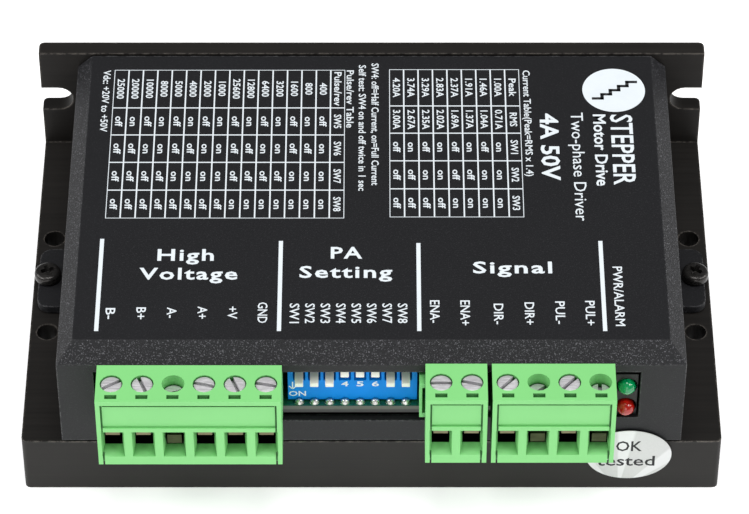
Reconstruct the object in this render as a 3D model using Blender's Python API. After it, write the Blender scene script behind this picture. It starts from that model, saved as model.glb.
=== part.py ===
"""Two-phase stepper motor driver module, modelled as the assembly of its separate pieces.

Units are metres. The origin is the centre of the heatsink's underside, +X runs along the length, -Y is the
connector side and +Z is up. Positions in Y are counted from the front face of the heatsink, with front().
"""

import math

import bmesh
import bpy
from mathutils import Matrix, Vector

MM = 0.001
CLEARANCE = 0.3 * MM  # gap between two pieces that touch on the real object
RADIUS_GAP = 0.3 * MM  # gap round a shank or a lamp in its hole

# Overall size of the module without its plugs
LENGTH = 118.0 * MM
DEPTH = 75.5 * MM
HEIGHT = 33.5 * MM

# Heatsink: a finned base plate with a standing rear flange
BASE_THICKNESS = 11.8 * MM
FLANGE_THICKNESS = 3.0 * MM
CORNER_RADIUS = 0.9 * MM
GROOVE_WIDTH = 5.0 * MM
GROOVE_PITCH = 8.0 * MM
GROOVE_DEPTH = 6.0 * MM
END_RIB = 5.5 * MM
MOUNT_SPACING = 112.0 * MM  # between the two flange slots, and between the holes of the two ears
SLOT_WIDTH = 5.2 * MM
SLOT_BELOW_TOP = 10.9 * MM
EAR_HOLE_DIAMETER = 3.6 * MM
EAR_HOLE_SPACING = 22.6 * MM

# Sheet cover
COVER_WALL = 1.5 * MM
COVER_BELOW_FLANGE_TOP = 0.2 * MM
EAR_WIDTH = 6.9 * MM  # heatsink left bare at each end
CHAMFER_HEIGHT = 2.58 * MM
FRONT_CHAMFER = 3.33 * MM
SIDE_CHAMFER = 2.67 * MM
TAB_LENGTH = 14.0 * MM
TAB_FROM_FRONT = 36.6 * MM  # middle of the tab
TAB_END_GAP = 1.0 * MM  # from the tab's end to the heatsink's end
TAB_CORNER_RADIUS = 2.0 * MM
WINDOW_ABOVE_HEADER = 0.7 * MM

# Screws that hold the cover and the board
SHANK_DIAMETER = 2.4 * MM
HEAD_DIAMETER = 4.6 * MM
HEAD_HEIGHT = 1.7 * MM
HEAD_EDGE = 0.5 * MM
RECESS_SPAN = 2.6 * MM
RECESS_WIDTH = 0.6 * MM
RECESS_DEPTH = 0.9 * MM
SCREW_INTO_BASE = 3.6 * MM
COVER_SCREW_FROM_END = 2.6 * MM

# Circuit board
BOARD_THICKNESS = 1.6 * MM
BOARD_ABOVE_BASE = 6.4 * MM
BOARD_SIDE_GAP = 0.6 * MM
BOARD_FROM_FLANGE = 2.0 * MM
BOARD_TONGUE_SETBACK = 0.85 * MM
BOARD_HOLE_FROM_SIDE = 4.0 * MM
BOARD_FRONT_HOLE = 16.0 * MM
BOARD_REAR_HOLE = 6.0 * MM
SPACER_DIAMETER = 5.5 * MM

# Pluggable terminals, with Y counted back from the plug's rear top edge and Z from its underside
TERMINAL_PITCH = 5.08 * MM
PLUG_HEIGHT = 15.4 * MM
PLUG_DEPTH = 8.15 * MM
BORE_WALL = 0.2 * MM  # behind the screw bores, down to the header
OVERHANG_THICKNESS = 2.8 * MM
TONGUE_REACH = 5.6 * MM
TONGUE_CENTRE = 8.2 * MM
END_PLATE = 0.75 * MM
END_GROOVE = 0.3 * MM
END_GROOVE_DEPTH = 0.75 * MM
PANEL_RECESS = 0.35 * MM
LIP_HEIGHT = 1.0 * MM
LEDGE_HEIGHT = 8.9 * MM
ENTRY_WIDTH = 3.75 * MM
ENTRY_BOTTOM = 1.93 * MM
ENTRY_TOP = 7.95 * MM
FUNNEL_DEPTH = 2.0 * MM
THROAT_WIDTH = 2.9 * MM
THROAT_BOTTOM = 3.1 * MM
CAVITY_BOTTOM = 1.2 * MM
CAVITY_TOP = 8.75 * MM
CAVITY_BACK = 2.4 * MM
CAVITY_WIDTH = 3.5 * MM
LIP_CHANNEL_FRONT = 7.55 * MM
SCREW_FROM_REAR = 4.1 * MM
TEST_SLOT = (2.0 * MM, 0.9 * MM, 1.5 * MM)
TEST_SLOT_FROM_REAR = 7.05 * MM
SOCKET_WIDTH = 1.7 * MM
SOCKET_DEPTH = 6.2 * MM

# Terminal screw and the clamp plate under it
TERMINAL_HEAD_DIAMETER = 3.6 * MM
TERMINAL_BORE_GAP = 0.1 * MM
TERMINAL_HEAD_HEIGHT = 1.6 * MM
TERMINAL_SHANK_DIAMETER = 2.6 * MM
TERMINAL_HEAD_SINK = 0.2 * MM
TERMINAL_SLOT_WIDTH = 0.6 * MM
TERMINAL_SLOT_DEPTH = 0.8 * MM
THREAD_PITCH = 0.5 * MM
SCREW_TURNS = 4
CLAMP_THICKNESS = 0.7 * MM
CLAMP_TOP = 8.3 * MM
CLAMP_LIP = 1.3 * MM
CLAMP_LIP_THICKNESS = 0.4 * MM
CLAMP_WIDTH = 2.4 * MM

# Headers on the board
HEADER_HEIGHT = 8.2 * MM
HEADER_DEPTH = 12.0 * MM
HEADER_WALL = 1.0 * MM
HEADER_THIN_WALL = 0.5 * MM
HEADER_BACK_WALL = 3.5 * MM
PIN_WIDTH = 1.0 * MM
PIN_FROM_HEADER_FRONT = 2.6 * MM
TAIL_FROM_HEADER_BACK = 1.5 * MM
TAIL_BELOW_BOARD = 1.3 * MM

# Eight-way piano switch
SWITCH_WAYS = 8
SWITCH_PITCH = 2.54 * MM
SWITCH_END = 1.28 * MM  # body past the outer ways, both ends together
SWITCH_SETBACK = 2.0 * MM
SWITCH_DEPTH = 7.2 * MM
SWITCH_HEIGHT = 8.1 * MM
LEVER_WIDTH = 1.4 * MM
LEVER_REACH = 4.8 * MM
LEVER_THICKNESS = 1.2 * MM
LEVER_HUB_RADIUS = 1.1 * MM
LEVER_PIVOT_SETBACK = 3.0 * MM  # behind the switch's face
LEVER_PIVOT_BELOW_TOP = 1.55 * MM
LEVER_HALF_THROW = math.radians(16.5)
LEVERS_DOWN = (1, 2, 3, 7, 8)

# Lamps and their holder
LAMP_DIAMETER = 3.0 * MM
LAMP_BODY = 4.8 * MM
LAMP_STAND_OUT = 0.8 * MM
LAMP_SPACING = 4.8 * MM
LAMP_LEAD = 0.5 * MM
LAMP_LEAD_SPACING = 1.27 * MM
HOLDER_WIDTH = 3.7 * MM
HOLDER_DEPTH = 7.8 * MM
HOLDER_SETBACK = 0.7 * MM
HOLDER_END_WALL = 0.5 * MM
LEADS_BEHIND_HOLDER = (1.5 * MM, 3.0 * MM)  # red lamp, green lamp

# Gaps along the row of connectors, from left to right
ROW_OFFSET = -0.7 * MM
WINDOW_TO_POWER = 0.76 * MM
POWER_TO_SWITCH = 0.81 * MM
ENABLE_HEADER_EXTRA = 0.97 * MM
ENABLE_TO_PULSE = 0.79 * MM
PULSE_TO_HOLDER = 0.41 * MM

# Electronics inside
CHIP_SIZE = (28.0 * MM, 15.0 * MM, 4.0 * MM)
CHIP_FROM_BACK = 20.5 * MM
PAD_THICKNESS = 0.5 * MM
PAD_MARGIN = 2.0 * MM
CONTROLLER_SIZE = (14.0 * MM, 14.0 * MM, 1.6 * MM)
CONTROLLER_PLACE = (-22.0 * MM, 40.0 * MM)
CAPACITOR_HEADROOM = 1.7 * MM
CAPACITOR_LENGTH = 20.0 * MM
CAPACITOR_PLACE = (28.0 * MM, 45.0 * MM)
CAPACITOR_CRIMP = 0.5 * MM

# Oval inspection label on the front
LABEL_WIDTH = 14.5 * MM
LABEL_HEIGHT = 12.0 * MM
LABEL_THICKNESS = 0.15 * MM
LABEL_FROM_RIGHT = 15.6 * MM
LABEL_CENTRE_HEIGHT = 8.9 * MM

# Levels and places that follow from the sizes above
COVER_TOP = HEIGHT - COVER_BELOW_FLANGE_TOP
COVER_HALF = LENGTH / 2 - EAR_WIDTH
COVER_BOTTOM = BASE_THICKNESS + CLEARANCE
BOARD_BOTTOM = BASE_THICKNESS + BOARD_ABOVE_BASE
BOARD_TOP = BOARD_BOTTOM + BOARD_THICKNESS
ON_BOARD = BOARD_TOP + CLEARANCE
HEADER_CENTRE = ON_BOARD + HEADER_HEIGHT / 2
PLUG_BOTTOM = HEADER_CENTRE - TONGUE_CENTRE
CAPACITOR_DIAMETER = COVER_TOP - COVER_WALL - ON_BOARD - CAPACITOR_HEADROOM
FLANGE_FRONT = DEPTH - FLANGE_THICKNESS
SHANK_HOLE = SHANK_DIAMETER + 2 * RADIUS_GAP
TERMINAL_BORE = TERMINAL_HEAD_DIAMETER + 2 * TERMINAL_BORE_GAP
PLUG_OVERHANG = SCREW_FROM_REAR - TERMINAL_BORE / 2 - BORE_WALL  # how far the top reaches back over the header
HEADER_REACH = PLUG_OVERHANG  # how far the header stands out in front of the cover
TERMINAL_TRAVEL = THREAD_PITCH * SCREW_TURNS
HOLDER_HEIGHT = LAMP_SPACING + LAMP_DIAMETER + 2 * RADIUS_GAP + 3 * HOLDER_END_WALL
SWITCH_WIDTH = SWITCH_WAYS * SWITCH_PITCH + SWITCH_END
OUTSIDE = 5.0 * MM  # how far a cutter runs past the piece it cuts
JOIN = 0.1 * MM  # how far one cutter runs into the next


class Plug:
    """One pluggable terminal: its name, ways, gap to the cover, screws left deep and slot angles."""

    def __init__(self, name, ways, gap, deep, slot_angles):
        self.name = name
        self.ways = ways
        self.gap = gap
        self.deep = deep
        self.slot_angles = slot_angles
        self.left = 0.0

    @property
    def width(self):
        return self.ways * TERMINAL_PITCH

    @property
    def centre(self):
        return self.left + self.width / 2

    def way_places(self):
        """X of each way, counted from the middle of the plug."""
        return [(way - (self.ways - 1) / 2) * TERMINAL_PITCH for way in range(self.ways)]


POWER = Plug("power", 6, 0.65 * MM, deep=(3,), slot_angles=(32, -68, 20, -14, -68, -12))
ENABLE = Plug("enable", 2, 0.30 * MM, deep=(), slot_angles=(0, -15))
PULSE = Plug("pulse", 4, 0.30 * MM, deep=(2, 4), slot_angles=(48, 40, 48, 90))

ROW_WIDTH = (
    WINDOW_TO_POWER + POWER.width + POWER_TO_SWITCH + SWITCH_WIDTH + CLEARANCE + ENABLE_HEADER_EXTRA
    + ENABLE.width + ENABLE_TO_PULSE + PULSE.width + PULSE_TO_HOLDER + HOLDER_WIDTH + CLEARANCE
)
WINDOW_LEFT = ROW_OFFSET - ROW_WIDTH / 2
WINDOW_RIGHT = WINDOW_LEFT + ROW_WIDTH
POWER.left = WINDOW_LEFT + WINDOW_TO_POWER
SWITCH_LEFT = POWER.left + POWER.width + POWER_TO_SWITCH
ENABLE.left = SWITCH_LEFT + SWITCH_WIDTH + CLEARANCE + ENABLE_HEADER_EXTRA
PULSE.left = ENABLE.left + ENABLE.width + ENABLE_TO_PULSE
HOLDER_LEFT = PULSE.left + PULSE.width + PULSE_TO_HOLDER
WINDOW_BOTTOM = BOARD_BOTTOM - CLEARANCE
HOLDER_BOTTOM = WINDOW_BOTTOM + CLEARANCE


def front(distance):
    """Y of a place that lies this far behind the front face."""
    return distance - DEPTH / 2


def material(name, colour, roughness, metallic=0.0):
    made = bpy.data.materials.new(name)
    made.use_nodes = True
    shader = made.node_tree.nodes["Principled BSDF"]
    shader.inputs["Base Color"].default_value = (*colour, 1.0)
    shader.inputs["Roughness"].default_value = roughness
    shader.inputs["Metallic"].default_value = metallic
    made.diffuse_color = (*colour, 1.0)
    return made


def add_box(bm, low, high):
    """A box between two corners."""
    low, high = Vector(low), Vector(high)
    size = high - low
    place = Matrix.Translation((low + high) / 2) @ Matrix.Diagonal((*size, 1.0))
    bmesh.ops.create_cube(bm, size=1.0, matrix=place)


def add_frustum(bm, front_low, front_high, back_low, back_high):
    """A tapered block along Y, between two rectangles given as (x, y, z) corners."""
    rings = []
    for low, high in ((front_low, front_high), (back_low, back_high)):
        corners = ((low[0], low[2]), (high[0], low[2]), (high[0], high[2]), (low[0], high[2]))
        rings.append([bm.verts.new((x, low[1], z)) for x, z in corners])
    bm.faces.new(rings[0])
    bm.faces.new(rings[1])
    for near in range(4):
        far = (near + 1) % 4
        bm.faces.new((rings[0][near], rings[0][far], rings[1][far], rings[1][near]))


def add_prism(bm, outline, start, end, axes="YZX"):
    """Extrudes an outline of (first, second) points from start to end along the third axis named."""
    order = ["XYZ".index(letter) for letter in axes]
    rings = []
    for along in (start, end):
        ring = []
        for first, second in outline:
            point = [0.0, 0.0, 0.0]
            for index, value in zip(order, (first, second, along)):
                point[index] = value
            ring.append(bm.verts.new(point))
        rings.append(ring)
    bm.faces.new(rings[0])
    bm.faces.new(rings[1])
    count = len(outline)
    for near in range(count):
        far = (near + 1) % count
        bm.faces.new((rings[0][near], rings[0][far], rings[1][far], rings[1][near]))


def add_turned(bm, profile, segments, place):
    """A solid of revolution about Z from (radius, height) points that start and end on the axis."""
    chain = [bm.verts.new(place @ Vector((radius, 0.0, height))) for radius, height in profile]
    edges = [bm.edges.new(pair) for pair in zip(chain, chain[1:])]
    centre = place @ Vector((0.0, 0.0, 0.0))
    axis = (place.to_3x3() @ Vector((0.0, 0.0, 1.0))).normalized()
    bmesh.ops.spin(
        bm, geom=chain + edges, cent=centre, axis=axis, angle=2 * math.pi, steps=segments, use_duplicate=False
    )
    bmesh.ops.remove_doubles(bm, verts=bm.verts, dist=1e-7)


def add_cylinder(bm, radius, low, high, segments, place=None):
    """A cylinder about Z from low to high, moved by place."""
    add_turned(bm, [(0.0, low), (radius, low), (radius, high), (0.0, high)], segments, place or Matrix())


def at(x, y, z=0.0):
    return Matrix.Translation((x, y, z))


def facing_front(x, y, z):
    """Turns a Z-up turned shape to stand along Y, with its top towards -Y."""
    return at(x, y, z) @ Matrix.Rotation(math.radians(90), 4, "X")


def arc(centre, radius, start, end, steps):
    """Points on an arc, with angles in degrees."""
    points = []
    for step in range(steps + 1):
        angle = math.radians(start + (end - start) * step / steps)
        points.append((centre[0] + radius * math.cos(angle), centre[1] + radius * math.sin(angle)))
    return points


def make_object(name, bm, finish, parent, location=(0.0, 0.0, 0.0), rotation=(0.0, 0.0, 0.0)):
    """Turns the bmesh into a named object with its material."""
    bmesh.ops.recalc_face_normals(bm, faces=bm.faces)
    mesh = bpy.data.meshes.new(name)
    bm.to_mesh(mesh)
    bm.free()
    mesh.shade_smooth()
    mesh.set_sharp_from_angle(angle=math.radians(35))
    mesh.materials.append(finish)
    return place_object(name, mesh, parent, location, rotation)


def place_object(name, mesh, parent, location=(0.0, 0.0, 0.0), rotation=(0.0, 0.0, 0.0)):
    obj = bpy.data.objects.new(name, mesh)
    bpy.context.scene.collection.objects.link(obj)
    obj.parent = parent
    obj.location = location
    obj.rotation_euler = rotation
    return obj


def make_empty(name, parent=None, location=(0.0, 0.0, 0.0)):
    empty = bpy.data.objects.new(name, None)
    bpy.context.scene.collection.objects.link(empty)
    empty.parent = parent
    empty.location = location
    empty.empty_display_size = 5.0 * MM
    return empty


def shape_with(obj, bm, label, operation="DIFFERENCE"):
    """Cuts the bmesh from an object, or joins it on, with a Boolean and a hidden helper."""
    bmesh.ops.recalc_face_normals(bm, faces=bm.faces)
    mesh = bpy.data.meshes.new(f"{obj.name}_{label}")
    bm.to_mesh(mesh)
    bm.free()
    helper = bpy.data.objects.new(mesh.name, mesh)
    bpy.context.scene.collection.objects.link(helper)
    helper.parent = obj
    helper.hide_render = True
    helper.display_type = "WIRE"
    modifier = obj.modifiers.new(label, "BOOLEAN")
    modifier.operation = operation
    modifier.object = helper
    modifier.solver = "EXACT"


def make_heatsink(finish, root):
    """The finned extrusion: base, rear flange, end slots, ear holes and blind screw holes."""
    end = LENGTH / 2
    profile = [
        (front(0), 0.0),
        (front(DEPTH), 0.0),
        (front(DEPTH), HEIGHT),
        (front(FLANGE_FRONT), HEIGHT),
        (front(FLANGE_FRONT), BASE_THICKNESS),
        (front(0), BASE_THICKNESS),
    ]
    bm = bmesh.new()
    add_prism(bm, profile, -end, end)
    corners = [
        edge
        for edge in bm.edges
        if abs(edge.verts[0].co.z - edge.verts[1].co.z) > 1e-6
        and abs(abs(edge.verts[0].co.y) - DEPTH / 2) < 1e-6
    ]
    bmesh.ops.bevel(bm, geom=corners, offset=CORNER_RADIUS, segments=3, profile=0.5, affect="EDGES")
    heatsink = make_object("heatsink", bm, finish, root)

    fits = int((DEPTH - 2 * END_RIB) / GROOVE_PITCH)
    grooves = fits - fits % 2
    bm = bmesh.new()
    for groove in range(grooves):
        middle = (groove - (grooves - 1) / 2) * GROOVE_PITCH
        low = (-end - OUTSIDE, middle - GROOVE_WIDTH / 2, -OUTSIDE)
        add_box(bm, low, (end + OUTSIDE, middle + GROOVE_WIDTH / 2, GROOVE_DEPTH))
    shape_with(heatsink, bm, "grooves")

    bm = bmesh.new()
    for side in (-1, 1):
        centre = (side * MOUNT_SPACING / 2, HEIGHT - SLOT_BELOW_TOP)
        half = SLOT_WIDTH / 2
        outline = arc(centre, half, 90, 270, 10) if side > 0 else arc(centre, half, -90, 90, 10)
        outer = side * (end + OUTSIDE)
        corners = [(outer, centre[1] - side * half), (outer, centre[1] + side * half)]
        add_prism(bm, outline + corners, front(FLANGE_FRONT) - OUTSIDE, front(DEPTH) + OUTSIDE, axes="XZY")
    shape_with(heatsink, bm, "slots")

    bm = bmesh.new()
    for side in (-1, 1):
        for step in (-0.5, 0.5):
            y = front(TAB_FROM_FRONT) + step * EAR_HOLE_SPACING
            place = at(side * MOUNT_SPACING / 2, y)
            add_cylinder(bm, EAR_HOLE_DIAMETER / 2, -OUTSIDE, BASE_THICKNESS + OUTSIDE, 16, place)
    for x, y in cover_screw_places() + board_screw_places():
        floor = BASE_THICKNESS - SCREW_INTO_BASE
        add_cylinder(bm, SHANK_HOLE / 2, floor, BASE_THICKNESS + OUTSIDE, 12, at(x, y))
    shape_with(heatsink, bm, "holes")
    return heatsink


def cover_screw_places():
    x = LENGTH / 2 - COVER_SCREW_FROM_END
    return [(side * x, front(TAB_FROM_FRONT)) for side in (-1, 1)]


def board_half():
    return COVER_HALF - COVER_WALL - BOARD_SIDE_GAP


def board_screw_places():
    x = board_half() - BOARD_HOLE_FROM_SIDE
    rear = FLANGE_FRONT - BOARD_FROM_FLANGE - BOARD_REAR_HOLE
    return [(side * x, front(y)) for y in (BOARD_FRONT_HOLE, rear) for side in (-1, 1)]


def add_chamfered_box(bm, half, start, end, bottom, shoulder, top, side_step, front_step):
    """A box whose top edges slope in at the front and at both sides, and run straight out at the back."""
    rings = []
    for z, inset_x, inset_y in ((bottom, 0.0, 0.0), (shoulder, 0.0, 0.0), (top, side_step, front_step)):
        x = half - inset_x
        corners = ((-x, start + inset_y), (x, start + inset_y), (x, end), (-x, end))
        rings.append([bm.verts.new((px, py, z)) for px, py in corners])
    bm.faces.new(rings[0])
    bm.faces.new(rings[-1])
    for lower, upper in zip(rings, rings[1:]):
        for near in range(4):
            far = (near + 1) % 4
            bm.faces.new((lower[near], lower[far], upper[far], upper[near]))


def make_cover(finish, root):
    """The black shell: open below and behind, with a long connector window and a screw tab at each end."""
    shoulder = COVER_TOP - CHAMFER_HEIGHT
    back = front(FLANGE_FRONT - CLEARANCE)
    bm = bmesh.new()
    add_chamfered_box(
        bm, COVER_HALF, front(0), back, COVER_BOTTOM, shoulder, COVER_TOP, SIDE_CHAMFER, FRONT_CHAMFER
    )
    cover = make_object("cover", bm, finish, root)

    bm = bmesh.new()
    inner_top = COVER_TOP - COVER_WALL
    inner_shoulder = shoulder - 0.5 * COVER_WALL
    share = (inner_top - inner_shoulder) / CHAMFER_HEIGHT
    add_chamfered_box(
        bm,
        COVER_HALF - COVER_WALL,
        front(COVER_WALL),
        back + OUTSIDE,
        COVER_BOTTOM - OUTSIDE,
        inner_shoulder,
        inner_top,
        SIDE_CHAMFER * share,
        FRONT_CHAMFER * share,
    )
    shape_with(cover, bm, "hollow")

    bm = bmesh.new()
    window_top = ON_BOARD + HEADER_HEIGHT + WINDOW_ABOVE_HEADER
    low = (WINDOW_LEFT, front(-OUTSIDE), WINDOW_BOTTOM)
    add_box(bm, low, (WINDOW_RIGHT, front(COVER_WALL + OUTSIDE / 2), window_top))
    shape_with(cover, bm, "window")

    middle = front(TAB_FROM_FRONT)
    half = TAB_LENGTH / 2
    radius = TAB_CORNER_RADIUS
    bm = bmesh.new()
    for side in (-1, 1):
        inner = COVER_HALF - COVER_WALL / 2
        outer = LENGTH / 2 - TAB_END_GAP
        outline = [(inner, middle - half)]
        outline += arc((outer - radius, middle - half + radius), radius, -90, 0, 4)
        outline += arc((outer - radius, middle + half - radius), radius, 0, 90, 4)
        outline += [(inner, middle + half)]
        outline = [(side * x, y) for x, y in outline]
        add_prism(bm, outline, COVER_BOTTOM, COVER_BOTTOM + COVER_WALL, axes="XYZ")
    shape_with(cover, bm, "tabs", "UNION")

    bm = bmesh.new()
    for x, y in cover_screw_places():
        add_cylinder(bm, SHANK_HOLE / 2, COVER_BOTTOM - OUTSIDE / 2, COVER_BOTTOM + OUTSIDE, 12, at(x, y))
    shape_with(cover, bm, "tab_holes")
    return cover


def make_pan_screw(name, finish, parent, place, seat, tip):
    """A pan-head cross-recess screw whose head sits at height seat and whose shank ends at tip."""
    head = HEAD_DIAMETER / 2
    shank = SHANK_DIAMETER / 2
    top = seat + HEAD_HEIGHT
    profile = [(0.0, top), (head - HEAD_EDGE, top), (head, top - HEAD_EDGE), (head, seat), (shank, seat)]
    profile += [(shank, tip + HEAD_EDGE), (shank - HEAD_EDGE, tip), (0.0, tip)]
    bm = bmesh.new()
    add_turned(bm, profile, 16, Matrix())
    screw = make_object(name, bm, finish, parent, (*place, 0.0))
    bm = bmesh.new()
    half = RECESS_SPAN / 2
    wide = RECESS_WIDTH / 2
    cross = [(half, -wide), (half, wide), (wide, wide)]
    outline = []
    for quarter in range(4):
        turn = Matrix.Rotation(math.radians(90 * quarter), 2)
        outline += [tuple(turn @ Vector(point)) for point in cross]
    add_prism(bm, outline, top - RECESS_DEPTH, top + OUTSIDE, axes="XYZ")
    shape_with(screw, bm, "cross_recess")
    return screw


def make_board(finish, root):
    """The circuit board, with a tongue into the cover's window and a notch for the lamp holder."""
    half = board_half()
    edge = front(COVER_WALL + CLEARANCE)
    tongue = front(BOARD_TONGUE_SETBACK)
    rear = front(FLANGE_FRONT - BOARD_FROM_FLANGE)
    tongue_left = WINDOW_LEFT + CLEARANCE
    notch_left = HOLDER_LEFT - CLEARANCE
    notch_right = HOLDER_LEFT + HOLDER_WIDTH + 2 * CLEARANCE
    notch_back = front(HOLDER_SETBACK + HOLDER_DEPTH + CLEARANCE)
    outline = [
        (-half, edge),
        (tongue_left, edge),
        (tongue_left, tongue),
        (notch_left, tongue),
        (notch_left, notch_back),
        (notch_right, notch_back),
        (notch_right, edge),
        (half, edge),
        (half, rear),
        (-half, rear),
    ]
    bm = bmesh.new()
    add_prism(bm, outline, BOARD_BOTTOM, BOARD_TOP, axes="XYZ")
    board = make_object("circuit_board", bm, finish, root)

    bm = bmesh.new()
    low, high = BOARD_BOTTOM - OUTSIDE, BOARD_TOP + OUTSIDE
    for x, y in board_screw_places():
        add_cylinder(bm, SHANK_HOLE / 2, low, high, 12, at(x, y))
    tail_y = front(HEADER_DEPTH - HEADER_REACH - TAIL_FROM_HEADER_BACK)
    half_hole = PIN_WIDTH / 2 + RADIUS_GAP
    for plug in (POWER, ENABLE, PULSE):
        for x in plug.way_places():
            middle = plug.centre + x
            add_box(
                bm,
                (middle - half_hole, tail_y - half_hole, low),
                (middle + half_hole, tail_y + half_hole, high),
            )
    shape_with(board, bm, "holes")
    return board


def make_spacer(name, finish, root, place):
    """A tubular spacer between the heatsink and the board."""
    low, high = BASE_THICKNESS + CLEARANCE, BOARD_BOTTOM - CLEARANCE
    bm = bmesh.new()
    add_cylinder(bm, SPACER_DIAMETER / 2, low, high, 16)
    spacer = make_object(name, bm, finish, root, (*place, 0.0))
    bm = bmesh.new()
    add_cylinder(bm, SHANK_HOLE / 2, low - OUTSIDE, high + OUTSIDE, 12)
    shape_with(spacer, bm, "bore")
    return spacer


def make_header(plug, left_extra, finish, root):
    """The board header that a plug pushes into, with its pins and their solder tails."""
    left, right = plug.left - left_extra, plug.left + plug.width
    face = front(-HEADER_REACH)
    rear = face + HEADER_DEPTH
    cavity_end = rear - HEADER_BACK_WALL
    bm = bmesh.new()
    add_box(bm, (left, face, ON_BOARD), (right, rear, ON_BOARD + HEADER_HEIGHT))
    header = make_object(f"{plug.name}_header", bm, finish, root)

    side_wall = HEADER_THIN_WALL if left_extra else HEADER_WALL
    bm = bmesh.new()
    low = (left + side_wall, face - OUTSIDE, ON_BOARD + HEADER_WALL)
    add_box(bm, low, (right - HEADER_WALL, cavity_end, ON_BOARD + HEADER_HEIGHT - HEADER_WALL))
    shape_with(header, bm, "cavity")

    half = PIN_WIDTH / 2
    tail_y = rear - TAIL_FROM_HEADER_BACK
    bm = bmesh.new()
    for way in plug.way_places():
        x = plug.centre + way
        low = (x - half, face + PIN_FROM_HEADER_FRONT, HEADER_CENTRE - half)
        add_box(bm, low, (x + half, cavity_end + HEADER_BACK_WALL / 3, HEADER_CENTRE + half))
        low = (x - half, tail_y - half, BOARD_BOTTOM - TAIL_BELOW_BOARD)
        add_box(bm, low, (x + half, tail_y + half, ON_BOARD + HEADER_WALL))
    shape_with(header, bm, "pins", "UNION")
    return header


def plug_profile():
    """The plug's block in (y, z): tall front part, with the top running back over the header."""
    return [
        (-PLUG_DEPTH, 0.0),
        (-PLUG_OVERHANG, 0.0),
        (-PLUG_OVERHANG, PLUG_HEIGHT - OVERHANG_THICKNESS),
        (0.0, PLUG_HEIGHT - OVERHANG_THICKNESS),
        (0.0, PLUG_HEIGHT),
        (-PLUG_DEPTH, PLUG_HEIGHT),
    ]


def cut_plug_front(body, plug):
    """The recessed front panel between the lip and the ledge, and the groove inside each end plate."""
    inner = plug.width / 2 - END_PLATE
    face = -PLUG_DEPTH
    lip = PLUG_HEIGHT - LIP_HEIGHT
    bm = bmesh.new()
    low = (-inner + END_GROOVE / 2, face - OUTSIDE, LEDGE_HEIGHT)
    add_box(bm, low, (inner - END_GROOVE / 2, face + PANEL_RECESS, lip))
    shape_with(body, bm, "panel")
    bm = bmesh.new()
    for side in (-1, 1):
        edges = sorted((side * inner, side * (inner - END_GROOVE)))
        low = (edges[0], face - OUTSIDE, -OUTSIDE)
        add_box(bm, low, (edges[1], face + END_GROOVE_DEPTH, lip))
    shape_with(body, bm, "end_grooves")


def cut_plug_ways(body, plug):
    """Wire entries, clamp cavities, screw bores, test slots and pin sockets, one of each for every way."""
    face = -PLUG_DEPTH
    throat = face + FUNNEL_DEPTH
    entries, cavities, channels, bores, slots, sockets = (bmesh.new() for _ in range(6))
    for x in plug.way_places():
        slope = (ENTRY_WIDTH - THROAT_WIDTH) / 2 / FUNNEL_DEPTH
        rise = (THROAT_BOTTOM - ENTRY_BOTTOM) / FUNNEL_DEPTH
        out = CLEARANCE
        wide = ENTRY_WIDTH / 2 + slope * out
        add_frustum(
            entries,
            (x - wide, face - out, ENTRY_BOTTOM - rise * out),
            (x + wide, face - out, ENTRY_TOP),
            (x - THROAT_WIDTH / 2, throat, THROAT_BOTTOM),
            (x + THROAT_WIDTH / 2, throat, ENTRY_TOP),
        )
        half = CAVITY_WIDTH / 2
        add_box(cavities, (x - half, throat - JOIN, CAVITY_BOTTOM), (x + half, -CAVITY_BACK, CAVITY_TOP))
        half = CLAMP_WIDTH / 2 + CLEARANCE
        low = (x - half, -LIP_CHANNEL_FRONT, ENTRY_TOP - CLAMP_LIP)
        add_box(channels, low, (x + half, throat + JOIN, CAVITY_TOP - JOIN))
        seat = PLUG_HEIGHT - TERMINAL_HEAD_SINK - TERMINAL_HEAD_HEIGHT - TERMINAL_TRAVEL - CLEARANCE
        wide, narrow = TERMINAL_BORE / 2, TERMINAL_SHANK_DIAMETER / 2 + RADIUS_GAP
        floor = CAVITY_TOP - 2 * JOIN
        profile = [(0.0, PLUG_HEIGHT + OUTSIDE), (wide, PLUG_HEIGHT + OUTSIDE), (wide, seat)]
        profile += [(narrow, seat), (narrow, floor), (0.0, floor)]
        add_turned(bores, profile, 16, at(x, -SCREW_FROM_REAR))
        length, width, depth = TEST_SLOT
        low = (x - length / 2, -TEST_SLOT_FROM_REAR - width / 2, PLUG_HEIGHT - depth)
        high = (x + length / 2, -TEST_SLOT_FROM_REAR + width / 2, PLUG_HEIGHT + OUTSIDE)
        add_box(slots, low, high)
        half = SOCKET_WIDTH / 2
        low = (x - half, TONGUE_REACH - SOCKET_DEPTH, TONGUE_CENTRE - half)
        add_box(sockets, low, (x + half, TONGUE_REACH + OUTSIDE, TONGUE_CENTRE + half))
    named = (
        ("wire_entries", entries),
        ("clamp_cavities", cavities),
        ("lip_channels", channels),
        ("screw_bores", bores),
        ("test_slots", slots),
        ("pin_sockets", sockets),
    )
    for label, bm in named:
        shape_with(body, bm, label)


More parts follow.
